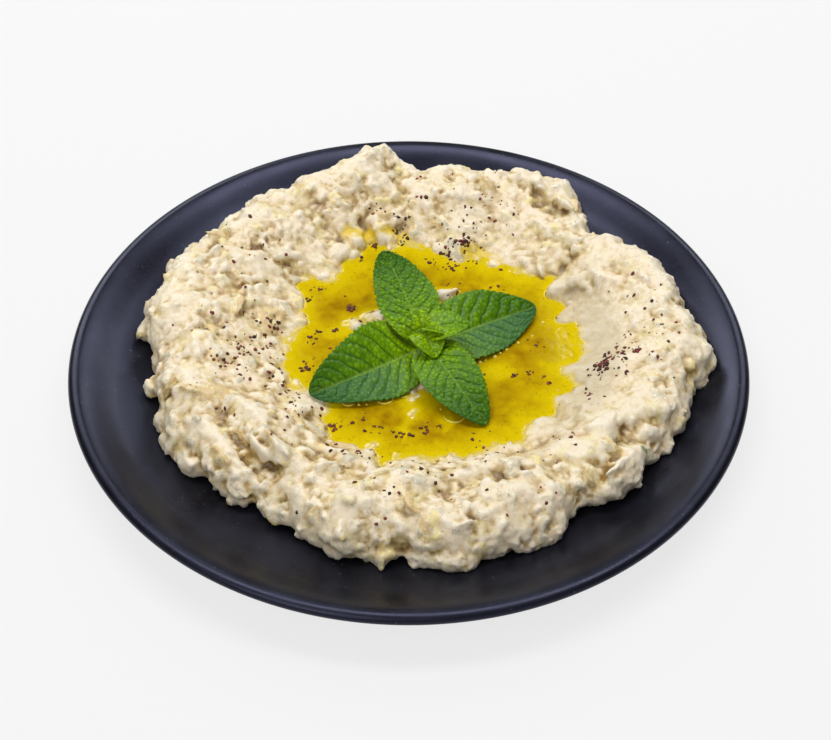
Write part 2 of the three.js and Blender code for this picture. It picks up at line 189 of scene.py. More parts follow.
# %% Noise
def noise(place, size, detail=2.0, out=0, **inputs):
    """Cloudy noise whose features are about this size. Output 0 is a number, output 1 a colour."""
    values = {"Vector": place, "Scale": 1 / size, "Detail": detail, **inputs}
    return add_node(place.tree, "ShaderNodeTexNoise", values, out)


# %% [markdown]
# A Geometry Nodes tree becomes useful once it has named inputs, since then one tree can make many pieces. A
# `Recipe` holds such a tree. It sets the modifier's inputs by their sockets' identifiers, before the object
# is evaluated for the first time, and turns the result into a plain mesh.


# %% Objects and plain meshes
def add_object(name, data):
    obj = bpy.data.objects.new(name, data)
    bpy.context.scene.collection.objects.link(obj)
    return obj


def new_object(name, vertices=(), edges=(), faces=()):
    mesh = bpy.data.meshes.new(name)
    mesh.from_pydata(vertices, edges, faces)
    return add_object(name, mesh)


def settle(obj):
    """Turns an object's modifiers into a plain mesh."""
    graph = bpy.context.evaluated_depsgraph_get()
    evaluated = obj.evaluated_get(graph)
    mesh = bpy.data.meshes.new_from_object(evaluated, preserve_all_data_layers=True, depsgraph=graph)
    obj.modifiers.clear()
    obj.data = mesh
    return obj


def count_triangles(obj):
    sides = np.zeros(len(obj.data.polygons), np.int32)
    obj.data.polygons.foreach_get("loop_total", sides)
    return int((sides - 2).sum())


# %% Recipes
SOCKET_TYPES = {
    int: "NodeSocketInt",
    float: "NodeSocketFloat",
    bpy.types.Object: "NodeSocketObject",
    bpy.types.Material: "NodeSocketMaterial",
}


class Recipe:
    """A Geometry Nodes tree with named inputs."""

    def __init__(self, name, **inputs):
        self.tree = bpy.data.node_groups.new(name, "GeometryNodeTree")
        self.identifiers = {}
        self.defaults = inputs
        sockets = self.tree.interface
        sockets.new_socket("Geometry", in_out="OUTPUT", socket_type="NodeSocketGeometry")
        sockets.new_socket("Geometry", in_out="INPUT", socket_type="NodeSocketGeometry")
        for label, value in inputs.items():
            socket = sockets.new_socket(label, in_out="INPUT", socket_type=SOCKET_TYPES[type(value)])
            self.identifiers[label] = socket.identifier
        self.start = self.tree.nodes.new("NodeGroupInput")
        self.geometry = self.input("Geometry")

    def input(self, label):
        return Field(self.tree, self.start.outputs[label])

    def node(self, kind, inputs=None, out=0, **settings):
        return add_node(self.tree, kind, inputs, out, **settings)

    def position(self):
        return self.node("GeometryNodeInputPosition")

    def normal(self):
        return self.node("GeometryNodeInputNormal")

    def random(self, low, high, seed):
        inputs = {2: low, 3: high, "Seed": seed}
        return self.node("FunctionNodeRandomValue", inputs, out=1, data_type="FLOAT")

    def attribute(self, name):
        return self.node("GeometryNodeInputNamedAttribute", {"Name": name}, data_type="FLOAT")

    def store(self, geometry, name, value, domain="POINT"):
        inputs = {"Geometry": geometry, "Name": name, "Value": value}
        return self.node("GeometryNodeStoreNamedAttribute", inputs, data_type="FLOAT", domain=domain)

    def move(self, geometry, **inputs):
        """Set Position, with a new Position or an Offset, and a Selection if not all points move."""
        return self.node("GeometryNodeSetPosition", {"Geometry": geometry, **inputs})

    def without(self, geometry, selection):
        return self.node("GeometryNodeDeleteGeometry", {"Geometry": geometry, "Selection": selection})

    def real(self, instances):
        return self.node("GeometryNodeRealizeInstances", {"Geometry": instances})

    def mesh_of(self, label):
        """The mesh of the object that this input names."""
        return self.node("GeometryNodeObjectInfo", {"Object": self.input(label)}, out=4)

    def put(self, instance, points, **inputs):
        """A copy of the instance on every point."""
        return self.node("GeometryNodeInstanceOnPoints", {"Points": points, "Instance": instance, **inputs})

    def ball(self, subdivisions):
        return self.node("GeometryNodeMeshIcoSphere", {"Radius": 1.0, "Subdivisions": subdivisions})

    def turn(self, rotation, lean, spin):
        """A rotation, leant over and then spun about its own axis."""
        angles = {"Euler": rotation.xyz(lean, 0.0, spin)}
        turned = {"Rotation": rotation, "Rotate By": self.node("FunctionNodeEulerToRotation", angles)}
        return self.node("FunctionNodeRotateRotation", turned, rotation_space="LOCAL")

    def join(self, *geometries):
        made = self.tree.nodes.new("GeometryNodeJoinGeometry")
        for geometry in reversed(geometries):
            plug(geometry, made.inputs[0])
        return Field(self.tree, made.outputs[0])

    def finish(self, geometry):
        """Ends the tree: real geometry only, smooth, with its material."""
        smooth = self.node("GeometryNodeSetShadeSmooth", {"Geometry": self.real(geometry)})
        inputs = {"Geometry": smooth, "Material": self.input("Material")}
        painted = self.node("GeometryNodeSetMaterial", inputs)
        end = self.tree.nodes.new("NodeGroupOutput")
        plug(painted, end.inputs[0])

    def make(self, obj, **values):
        """Runs the tree on an object, whose mesh becomes the result."""
        modifier = obj.modifiers.new(self.tree.name, "NODES")
        modifier.node_group = self.tree
        for label, value in {**self.defaults, **values}.items():
            modifier[self.identifiers[label]] = value
        return settle(obj)


# %% Hand a piece over
def hand_over(obj, slot, *nodes):
    """Makes an object a finished piece that rides on the one body and stands for some solids."""
    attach(obj, "root")
    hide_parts(*nodes)
    size = [round(side / MM, 1) for side in obj.dimensions]
    print(f"{obj.name}: {count_triangles(obj)} triangles, {size} mm")


# %% [markdown]
# Colours are chosen as they look on a screen, from 0 to 255, but a shader counts light. `paint` turns one
# into the other. `Finish` starts a material with a Principled BSDF and with places read from Object
# coordinates, so that a pattern stays fixed to its piece.


# %% Colours
def paint(red, green, blue):
    """A screen colour as a linear one."""

    def linear(value):
        share = value / 255
        return share / 12.92 if share <= 0.04045 else ((share + 0.055) / 1.055) ** 2.4

    return (linear(red), linear(green), linear(blue), 1.0)


# %% Materials
class Finish:
    """A material with one Principled BSDF, whose sockets are set by name."""

    def __init__(self, name, **settings):
        self.material = bpy.data.materials.new(name)
        self.material.use_nodes = True
        self.tree = self.material.node_tree
        self.shader = self.tree.nodes["Principled BSDF"]
        self.place = self.node("ShaderNodeTexCoord", out="Object")
        self.set(**settings)

    def node(self, kind, inputs=None, out=0, **settings):
        return add_node(self.tree, kind, inputs, out, **settings)

    def set(self, **settings):
        for name, value in settings.items():
            plug(value, self.shader.inputs[name.replace("_", " ")])

    def attribute(self, name):
        return self.node("ShaderNodeAttribute", out="Fac", attribute_name=name)

    def noise(self, size, detail=2.0, **inputs):
        return noise(self.place, size, detail, **inputs)

    def blend(self, factor, first, second):
        """A mix of two colours."""
        inputs = {0: factor, 6: first, 7: second}
        return self.node("ShaderNodeMix", inputs, out=2, data_type="RGBA")

    def scale(self, stops, factor):
        """A scale of colours: (where, colour) from low to high."""
        made = self.tree.nodes.new("ShaderNodeValToRGB")
        marks = made.color_ramp.elements
        for _ in stops[2:]:
            marks.new(0.5)
        for mark, (where, colour) in zip(marks, stops):
            mark.position = where
            mark.color = colour
        plug(factor, made.inputs[0])
        return Field(self.tree, made.outputs[0])

    def layers(self, colour, *layers):
        """Lays other colours over the first, one after the other, each by its own share."""
        for share, over in layers:
            colour = self.blend(share, colour, over)
        return colour

    def bump(self, height, depth):
        """Relief too fine to model, as deep as depth where height is 1."""
        made = self.node("ShaderNodeBump", {"Height": height, "Strength": 1.0, "Distance": depth})
        self.set(Normal=made)

    def ready(self):
        """The material, when all its nodes are in place."""
        print(f"{self.material.name}: {len(self.tree.nodes)} nodes")
        return self.material


# %% [markdown]
# ## Camera, floor and light
# The plate is seen from half above, and the camera stands five and a half plate radii from it. It is aimed a
# little below and to the right of the plate's middle, so that the plate sits where the picture frames it.

# %% Camera
PICTURE_WIDTH = 831  # pixels
PICTURE_HEIGHT = 740
RIM_MIDDLE = (409.0, 348.7)  # where the middle of the plate's rim falls in the picture
FOCAL_LENGTH = 1862.9  # also in pixels
SENSOR = 36.0
CAMERA_HEIGHT = math.radians(44.4)

plate_low, plate_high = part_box("plate")
PLATE_RADIUS = plate_high.x
CAMERA_DISTANCE = 5.5 * PLATE_RADIUS


def make_camera():
    data = bpy.data.cameras.new("camera")
    data.sensor_width = SENSOR
    data.lens = SENSOR * FOCAL_LENGTH / PICTURE_WIDTH
    camera = add_object("camera", data)
    look = Vector((0, math.cos(CAMERA_HEIGHT), -math.sin(CAMERA_HEIGHT)))
    yaw = math.atan((PICTURE_WIDTH / 2 - RIM_MIDDLE[0]) / FOCAL_LENGTH)
    pitch = math.atan((PICTURE_HEIGHT / 2 - RIM_MIDDLE[1]) / FOCAL_LENGTH)
    camera.location = Vector((0, 0, plate_high.z)) - look * CAMERA_DISTANCE
    camera.rotation_mode = "QUATERNION"
    aim = look.to_track_quat("-Z", "Y")
    camera.rotation_quaternion = aim @ Euler((-pitch, -yaw, 0)).to_quaternion()
    bpy.context.scene.camera = camera
    return camera


camera = make_camera()
print("camera:", [round(value, 3) for value in camera.location], "lens", round(camera.data.lens, 1))

# %% [markdown]
# One large soft lamp hangs over the dish. What faces up mirrors it, which gives the leaves, the plate's far
# rim and the wet dip their sheen, while the flat oil and the plate's near rim mirror the dim room behind and
# stay deep and dark. Two smaller lamps stand behind, where the plate's left and right rims mirror them, and
# draw the lumps with shadows. One lamp at the near left, and a room that is brighter in front and overhead,
# fill the shadows. The floor glows, as a light table does, so that the dish casts only a faint shadow on it.


# %% Floor and light
def make_floor():
    half = 4.0
    corners = [(-half, -half, 0), (half, -half, 0), (half, half, 0), (-half, half, 0)]
    floor = new_object("floor", corners, faces=[(0, 1, 2, 3)])
    floor.location.z = -0.1 * MM
    surface = Finish("pale_floor", Base_Color=paint(96, 96, 96), Roughness=0.9)
    surface.set(Emission_Color=(1.0, 1.0, 1.0, 1.0), Emission_Strength=0.767)
    floor.data.materials.append(surface.ready())


def make_lamp(name, place, width, height, watts, tone):
    """A flat lamp that is aimed at the middle of the plate."""
    data = bpy.data.lights.new(name, "AREA")
    data.shape = "RECTANGLE"
    data.size = width
    data.size_y = height
    data.energy = watts
    data.color = tone
    lamp = add_object(name, data)
    lamp.location = place
    lamp.rotation_euler = (-Vector(place)).to_track_quat("-Z", "Y").to_euler()


def make_room():
    world = bpy.data.worlds.new("room")
    world.use_nodes = True
    tree = world.node_tree
    _, back, up = add_node(tree, "ShaderNodeTexCoord", out="Generated").parts()
    glow = up.ramp(0.7, 1.0, 0.05, 0.3) + (-back).ramp(0.0, 0.9, 0.0, 0.4) * up.ramp(0.5, 0.9, 1.0, 0.0)
    plug(glow, tree.nodes["Background"].inputs["Strength"])
    tree.nodes["Background"].inputs["Color"].default_value = (0.96, 0.98, 1.0, 1.0)
    bpy.context.scene.world = world


make_floor()
make_lamp("overhead", (0.0, 0.3, 1.32), 1.5, 0.36, 13.2, (1.0, 0.99, 0.98))
make_lamp("back_left", (-0.52, 1.05, 0.78), 0.7, 0.55, 5.6, (0.94, 0.97, 1.0))
make_lamp("back_right", (0.54, 1.03, 0.8), 0.65, 0.55, 4.2, (0.92, 0.96, 1.0))
make_lamp("front_left", (-0.6, -0.85, 1.2), 0.8, 0.8, 6.6, (1.0, 0.985, 0.96))
make_room()
bpy.context.scene.view_settings.view_transform = "Standard"
print("lamps:", [lamp.name for lamp in bpy.data.lights])

# %% [markdown]
# ## Plate
# A coupe plate is thrown on a wheel, so it is one outline turned round an axis: a foot ring, a thin wall,
# and a rim that climbs in one curve to a rolled lip. It could be a Screw modifier. Here Geometry Nodes turn
# it with Curve to Mesh: a small circle is the path, the outline is the profile, and where the profile
# reaches the axis its points meet and are merged into one.

# %% Sizes of the plate
FLOOR_TOP = 6.5 * MM
FLAT_RADIUS = 88 * MM
RIM_INSIDE = 131.2 * MM
RIM_RISE = 12.2 * MM
RIM_CURVE = 1.8
WALL = 4.6 * MM
UNDER_START = 95 * MM  # the underside follows the upper face from here
UNDER_END = 128 * MM  # to here
UNDER_OUT = 1.2 * MM  # and lies this much further out
LIP = 2.2 * MM
LIP_WIDE = 3.3 * MM
LIP_FOOT = 116 * MM  # where the climb up to the lip starts
LIP_FOOT_SLOPE = 0.36
LIP_TOP_SLOPE = 0.25
FOOT_INSIDE = 76 * MM
FOOT_OUTSIDE = 83 * MM
FOOT_SLOPE = 1.5 * MM
FOOT_HEIGHT = 2 * MM
FOOT_BEVEL = 0.3 * MM


# %% Outline of the plate
def plate_height(radius):
    """Height of the plate's upper face."""
    share = max(0.0, (radius - FLAT_RADIUS) / (RIM_INSIDE - FLAT_RADIUS))
    return FLOOR_TOP + RIM_RISE * share**RIM_CURVE


def plate_outline():
    """(radius, height) from the middle of the underside, round the lip, to the middle of the top."""
    foot_top = plate_low.z + FOOT_HEIGHT
    points = [(0.0, foot_top), (FOOT_INSIDE - FOOT_SLOPE, foot_top)]
    bevel_top = plate_low.z + FOOT_BEVEL
    points += [(FOOT_INSIDE - FOOT_BEVEL, bevel_top), (FOOT_INSIDE + FOOT_BEVEL, plate_low.z)]
    points += [(FOOT_OUTSIDE - FOOT_BEVEL, plate_low.z), (FOOT_OUTSIDE + FOOT_BEVEL, bevel_top)]
    points += [(FOOT_OUTSIDE + FOOT_SLOPE, foot_top)]
    for radius in np.linspace(UNDER_START, UNDER_END, 14):
        points.append((radius + UNDER_OUT, plate_height(radius) - WALL))
    middle = (PLATE_RADIUS - LIP_WIDE, plate_high.z - LIP)
    for turn in np.radians(np.linspace(-50, 100, 24)):
        points.append((middle[0] + LIP_WIDE * math.cos(turn), middle[1] + LIP * math.sin(turn)))
    start, end = (LIP_FOOT, plate_height(LIP_FOOT)), points[-1]
    width = end[0] - start[0]
    for share in np.linspace(0.95, 0.0, 20):
        rise = share * share * (3 - 2 * share)
        slope_in = share * (1 - share) ** 2 * LIP_FOOT_SLOPE * width
        slope_out = share * share * (1 - share) * LIP_TOP_SLOPE * width
        height = start[1] + rise * (end[1] - start[1]) + slope_in - slope_out
        points.append((start[0] + share * width, height))
    for radius in np.linspace(LIP_FOOT - 2 * MM, FLAT_RADIUS, 20):
        points.append((radius, plate_height(radius)))
    points += [(0.5 * FLAT_RADIUS, FLOOR_TOP), (0.0, FLOOR_TOP)]
    return points


outline = plate_outline()
print("plate outline:", len(outline), "points")


# %% [markdown]
# The glaze is a dark slate grey, satin rather than glossy. Close up it has faint cloudy patches, a fine
# orange-peel relief, and pale specks of dust.


# %% Glaze
def make_glaze():
    finish = Finish("charcoal_glaze", IOR=1.47, Specular_IOR_Level=0.45, Specular_Tint=paint(202, 206, 255))
    clouds = finish.noise(22 * MM, 4.0, Roughness=0.6)
    grain = finish.noise(0.5 * MM, 2.0)
    dust = finish.noise(1.3 * MM, 1.0).ramp(0.72, 0.8)
    colour = finish.blend(clouds.ramp(0.3, 0.7), paint(11, 11, 15), paint(19, 20, 27))
    colour = finish.blend(dust * 0.35, colour, paint(108, 110, 122))
    rough = clouds.ramp(0.25, 0.75, 0.27, 0.37) + (grain - 0.5) * 0.08
    finish.set(Base_Color=colour, Roughness=rough)
    finish.bump(grain + finish.noise(4 * MM, 2.0) * 2.0, 0.02 * MM)
    return finish.ready()


glaze = make_glaze()

# %% Turn the plate
AXIS_CIRCLE = 60 * MM  # radius of the path; the profile is set out from it


def turning_recipe():
    recipe = Recipe("turn_on_axis", Material=glaze, Segments=256, Circle=AXIS_CIRCLE)
    profile = recipe.node("GeometryNodeMeshToCurve", {"Mesh": recipe.geometry})
    circle = {"Resolution": recipe.input("Segments"), "Radius": recipe.input("Circle")}
    path = recipe.node("GeometryNodeCurvePrimitiveCircle", circle)
    turned = recipe.node("GeometryNodeCurveToMesh", {"Curve": path, "Profile Curve": profile})
    closed = recipe.node("GeometryNodeMergeByDistance", {"Geometry": turned, "Distance": 0.01 * MM})
    recipe.finish(closed)
    return recipe


places = [(radius - AXIS_CIRCLE, -height, 0.0) for radius, height in reversed(outline)]
steps = [(k, k + 1) for k in range(len(places) - 1)]
plate = new_object("plate_glazed", places, steps)
turning_recipe().make(plate)
hand_over(plate, "stoneware", "plate")

# %% [markdown]
# ## Aubergine dip
# The flesh of a roasted aubergine is chopped and stirred with sesame paste, so the dip is a soft mash full of
# lumps, strings and torn flaps, with shaded hollows between them. One could push a dense surface in and out
# by a noise, but that gives dunes rather than lumps, since no lump can overhang.
#
# So it is made as it is in the kitchen. The solid from the frame is the body. Geometry Nodes throw thousands
# of lumps, strings and flaps on it, and a voxel remesh welds them all into one skin. A second tree chops the
# skin into crumbs, and a third writes down how hollow each place is and which lump it belongs to, for its
# colour.

# %% [markdown]
# Some forms have a place of their own: mash that stands out of the oil, tongues that reach into the pool, and
# clods at the edge that hang over the plate. Each is one squeezed ball. They are joined to the copy of the
# solid before the first remesh, so they take part in the body. The deepest creases have places too, and so
# have the notches of the outer edge. Both are pressed into the body as grooves.

# %% Clods
OIL_LEVEL = 15.1 * MM

# x, y, z, then half its length, width and height, all in millimetres, and its turn in degrees
CLODS = [
    (-14, 24, OIL_LEVEL / MM - 1.6, 7, 4.4, 3.0, 20), (-22, 20, OIL_LEVEL / MM - 1.8, 4.6, 3.4, 2.6, -20),
    (15, 35, OIL_LEVEL / MM - 1.6, 4.6, 3.2, 2.8, 0), (2, -15, OIL_LEVEL / MM - 1.2, 3.4, 6, 2.4, 0),
    (63, 40, 16.4, 8, 4.2, 4.0, 46), (71, 40, 20.5, 5, 2.4, 2.6, 10),
    (80, 37, 25.0, 8, 2.4, 2.4, -35), (-25, 73, 18.0, 9, 3.8, 3.4, -66),
    (-14, 77, 18.0, 10, 3.4, 3.0, -75), (-31, 62, 15.6, 7.5, 5.5, 4.0, 30),
    (-64, -69, 10.4, 5, 3.6, 4.4, 30), (-50, -77, 10.5, 9, 4, 4.4, -38),
    (-35, -88, 10.5, 9, 4, 4.4, -34), (-27, -95, 10.0, 4.4, 4.4, 3.4, 60),
    (-12, -97, 10.6, 9, 3.6, 4.0, -8), (5, -99, 10.6, 6.4, 4.2, 4.4, -20),
    (17, -101, 11.0, 8.5, 4.6, 5.0, 8), (31, -95, 10.6, 7, 4, 4.4, 24),
    (44, -92, 10.4, 7, 4, 4.4, 10), (52, -89, 10.6, 6, 3.6, 4.2, 30),
    (84, -62, 11.4, 5, 2.4, 3.2, -50), (93, -50, 11.4, 5, 3, 3.6, 40),
    (98, -44, 12.6, 4.4, 3, 3.6, -60), (115, -10, 13.6, 6, 4, 5.0, 70),
    (118, -5, 15.0, 5.4, 3.4, 3.6, 0), (105, 39, 20.5, 4.6, 1.8, 2.2, 20),
    (-100, -13, 11.5, 4.6, 3.4, 4.4, 20), (-107, 17, 13.5, 4.4, 4, 4.4, 80),
    (-101, 27, 17.0, 4.6, 3.4, 3.4, 60), (-84, -54, 11.0, 7, 4, 5.0, -48),
    (-90, -44, 10.6, 8, 4.4, 5.0, -52), (-95, -32, 11.4, 6, 4, 5.0, -70),
    (-90, 58, 17.0, 7, 4.6, 5.0, 60), (-82, 66, 17.0, 8, 4.4, 5.0, 45),
    (-75, 78, 18.0, 7, 4.4, 5.0, 40), (-97, 45, 16.0, 6, 4, 4.6, 70),
    (34, -8, OIL_LEVEL / MM - 3.0, 8, 5, 2.2, 0), (1, -28, OIL_LEVEL / MM - 2.8, 3, 9, 2.2, 0),
    (-28, 15, OIL_LEVEL / MM - 2.6, 7, 4, 2.0, 20),
]


def squeezed_balls(name, rows):
    """One object with a squeezed and turned ball for each row of numbers."""
    shaper = bmesh.new()
    for x, y, z, long, wide, high, turn in rows:
        place = Matrix.LocRotScale(
            Vector((x, y, z)) * MM,
            Euler((0, 0, math.radians(turn))),
            Vector((long, wide, high)) * MM,
        )
        bmesh.ops.create_icosphere(shaper, subdivisions=4, radius=1.0, matrix=place)
    obj = new_object(name)
    shaper.to_mesh(obj.data)
    shaper.free()
    return obj


clods = squeezed_balls("clods", CLODS)
print("clods:", len(CLODS), "with", count_triangles(clods), "triangles")

# %% Places on the dip
DIP_MIDDLE = Vector((7 * MM, 3 * MM))
POOL_REACH = 84 * MM  # the oil lies within this radius of the middle
SLOPE_REACH = 92 * MM  # and the slope that the spoon swept within this one


def around_dip(place):
    """How far a place is from the middle of the dip, and in which direction, from -pi to pi."""
    x, y, _ = place.parts()
    right = x - DIP_MIDDLE.x
    back = y - DIP_MIDDLE.y
    return (right * right + back * back) ** 0.5, back.math("ARCTAN2", back, right)


def swept_side(direction):
    """1 at the right, where the spoon swept the mash smooth, and less away from there."""
    return (direction + 0.05).bell(0.75)


# %% Grooves
# x, y, half length and half width, all in millimetres, turn in degrees and depth in millimetres
GROOVES = [
    (73, -67, 8, 2.4, 50, 3.5), (86, -51, 11, 2.2, 12, 2.5), (-60, -62, 8, 2.6, -50, 3.5),
    (-60, -71, 4, 1.8, -60, 4.0), (-46, -55, 8, 1.8, -35, 2.5), (-78, 56, 8, 2.2, 40, 2.5),
    (-66, 34, 6, 2.2, 30, 2.5), (50, 92, 9, 2.0, -25, 2.5), (40, -70, 10, 2.0, 25, 2.5),
    (-25, 73, 4, 3, 60, 2.0), (-5, 74, 4, 2.6, 60, 2.0), (-57, 100, 10, 6, 122, 14.0),
    (-33, 103, 6, 4, 20, 3.0), (-6, 104, 5, 6, 0, 4.0), (4, 101, 16, 6, 0, 4.5),
    (40, 104, 14, 6, -15, 4.5), (77, 88, 13, 5.5, 90, 14.0), (102, 56, 14, 4.5, -50, 7.0),
    (112, 29, 14, 4.5, 103, 6.0), (119, 10, 9, 4.5, 95, 8.0),
]


def press_grooves(obj):
    """Sinks the upper face along each groove."""
    places = np.empty(len(obj.data.vertices) * 3)
    obj.data.vertices.foreach_get("co", places)
    right, back, up = places.reshape(-1, 3).T / MM
    for x, y, long, wide, turn, depth in GROOVES:
        angle = math.radians(turn)
        along = (right - x) * math.cos(angle) + (back - y) * math.sin(angle)
        across = (back - y) * math.cos(angle) - (right - x) * math.sin(angle)
        near = np.exp(-((along / long) ** 2) - (across / wide) ** 2)
        up = up - near * depth * np.clip((up - 10) / 4, 0, 1)
    obj.data.vertices.foreach_set("co", np.column_stack((right, back, up)).ravel() * MM)


# %% Body of the dip
BODY_VOXEL = 1.4 * MM


def copy_of_node(node, name):
    """A merged copy of a solid's mesh, as a new object."""
    obj = add_object(name, frame["nodes"][node].data.copy())
    obj.data.materials.clear()
    welding = obj.modifiers.new("weld", "WELD")
    welding.merge_threshold = 0.001 * MM
    return settle(obj)


def weld(obj, voxel):
    """Makes all that an object holds into one skin of small squares, a little smoothed."""
    remesh = obj.modifiers.new("remesh", "REMESH")
    remesh.mode = "VOXEL"
    remesh.voxel_size = voxel
    smooth = obj.modifiers.new("smooth", "SMOOTH")
    smooth.iterations = 5
    settle(obj)


def join_into(obj, other):
    """Moves another object's mesh into this one."""
    shaper = bmesh.new()
    shaper.from_mesh(obj.data)
    shaper.from_mesh(other.data)
    shaper.to_mesh(obj.data)
    shaper.free()
    bpy.data.objects.remove(other)


body = copy_of_node("dip", "mash_body")
join_into(body, clods)
weld(body, BODY_VOXEL)
press_grooves(body)
print("body:", count_triangles(body), "triangles")

# %% [markdown]
# The lumps come in sizes. A few are as large as a chickpea, most are like a lentil, and the small ones are
# crumbs. None lie on the underside, few on the slope that the spoon swept smooth at the right, and fewer
# below the oil. Each is a ball that is squeezed, turned, partly sunk and then warped by a noise, so no two
# are alike. Strings are long thin balls laid flat, which the same noise bends, and flaps are wide thin ones
# that stand up, as where the spoon tore the mash. The longest torn lips, along the deepest creases, have
# places of their own.

# %% Torn lips
# x, y, z, then half its length, width and height, all in millimetres, and its turn in degrees
TORN_LIPS = [
    (-57, -57, 24.0, 8.5, 1.4, 3.6, -57), (-51, -58, 27.0, 9, 1.4, 3.0, -47),
    (-31, -67, 24.8, 5.5, 1.2, 2.2, 15), (-39, -59, 24.0, 5, 1.2, 2.2, -20),
    (78, -66, 23.0, 7, 1.3, 2.6, 40), (66, 80, 28.0, 6, 1.3, 2.4, -45),
]

torn_lips = squeezed_balls("torn_lips", TORN_LIPS)
print("torn lips:", count_triangles(torn_lips), "triangles")

# %% Lumps, strings and flaps
# Each kind: shift of its seed, smallest and largest radius in millimetres, how that radius is squeezed along
# its length, width and height, how much of it is sunk (below 0: raised), how far it leans, range of its tint
LUMPS = {
    "Large": (50, 3.0, 5.6, (1.0, 0.8, 0.6), 0.2, 0.5, (0.0, 0.95)),
    "Medium": (60, 1.4, 3.2, (1.0, 0.8, 0.62), 0.02, 0.6, (0.0, 1.0)),
    "Small": (50, 0.8, 1.5, (1.0, 0.85, 0.8), -0.1, 0.6, (0.0, 1.0)),
    "Strings": (70, 1.2, 1.8, (4.0, 0.9, 0.5), -0.25, 0.3, (1.1, 1.5)),
    "Flaps": (50, 3.0, 5.5, (1.3, 0.9, 0.26), -0.1, 1.1, (0.3, 1.4)),
}
PLAIN_TINT = 0.3


# %% How thickly the lumps fall
def crowding(recipe, place):
    """How thickly the lumps fall: most on the flank, fewer where it is swept or sunk, none underneath."""
    _, _, z = place.parts()
    _, _, up = recipe.normal().parts()
    out, direction = around_dip(place)
    inside = out.ramp(POOL_REACH, SLOPE_REACH, 1.0, 0.0)
    swept = swept_side(direction) * inside * 0.94
    sunk = inside * z.ramp(OIL_LEVEL - 2 * MM, OIL_LEVEL, 1.0, 0.0)
    patchy = noise(place, 16 * MM, 1.0).ramp(0.35, 0.6, 0.35, 1.0)
    showing = up.ramp(-0.7, -0.3) * z.ramp(6.6 * MM, 7.2 * MM)
    flank = up.ramp(0.3, 0.8, 1.6, 1.0)
    return showing * flank * (1.0 - swept) * (1.0 - sunk * 0.75) * patchy


# %% Throw one kind
def throw(recipe, share, kind):
    """Lumps of one kind all over the body, each of random size, turned at random and partly sunk."""
    shift, low, high, (long, wide, flat), sink, tilt, tints = LUMPS[kind]
    seed = recipe.input("Seed") + shift
    settings = {"Mesh": recipe.geometry, "Density": recipe.input(kind) * share, "Seed": seed}
    scatter = recipe.node("GeometryNodeDistributePointsOnFaces", settings)
    size = recipe.random(low * MM, high * MM, seed + 1) * recipe.random(0.7, 1.0, seed + 2)
    moved = recipe.move(scatter, Offset=scatter.output("Normal").times(-size * sink))
    lean = recipe.random(-tilt, tilt, seed + 3)
    spin = recipe.random(0.0, 2 * math.pi, seed + 4)
    rotation = recipe.turn(scatter.output("Rotation"), lean, spin)
    wide = wide * recipe.random(0.7, 1.2, seed + 5)
    shape = size.xyz(size * long, size * wide, size * flat)
    lumps = recipe.put(recipe.ball(3), moved, Rotation=rotation, Scale=shape)
    tint = recipe.random(*tints, seed + 6)
    return recipe.real(recipe.store(lumps, "tint", tint, domain="INSTANCE"))


# %% Throw them all and warp them
def scatter_recipe():
    recipe = Recipe(
        "mash_lumps",
        Material=glaze,  # for now; the skin gets its own
        Torn_Lips=torn_lips,
        Large=4600.0,
        Medium=34000.0,
        Small=24000.0,
        Strings=1800.0,
        Flaps=3000.0,
        Warp=0.9 * MM,
        Fine_Warp=0.4 * MM,
        Seed=7,
    )
    place = recipe.position()
    share = crowding(recipe, place)
    lips = recipe.store(recipe.mesh_of("Torn_Lips"), "tint", PLAIN_TINT)
    lumps = recipe.join(lips, *[throw(recipe, share, kind) for kind in LUMPS])
    bend = noise(place, 5 * MM, 2.0, out=1).centred()
    curl = noise(place, 2.2 * MM, 2.0, out=1).centred()
    # a noise strays about a quarter from its middle, so it is scaled by 4 to be as large as its input says
    warp = bend.times(recipe.input("Warp") * 4.0).plus(curl.times(recipe.input("Fine_Warp") * 4.0))
    plain = recipe.store(recipe.geometry, "tint", PLAIN_TINT)
    recipe.finish(recipe.join(plain, recipe.move(lumps, Offset=warp)))
    return recipe


raw = scatter_recipe().make(body)
bpy.data.objects.remove(torn_lips)
print("thrown:", count_triangles(raw), "triangles")

# %% Weld the mash into one skin
MASH_VOXEL = 0.8 * MM

dip = add_object("dip_mash", raw.data)
weld(dip, MASH_VOXEL)
print("welded:", count_triangles(dip), "triangles")
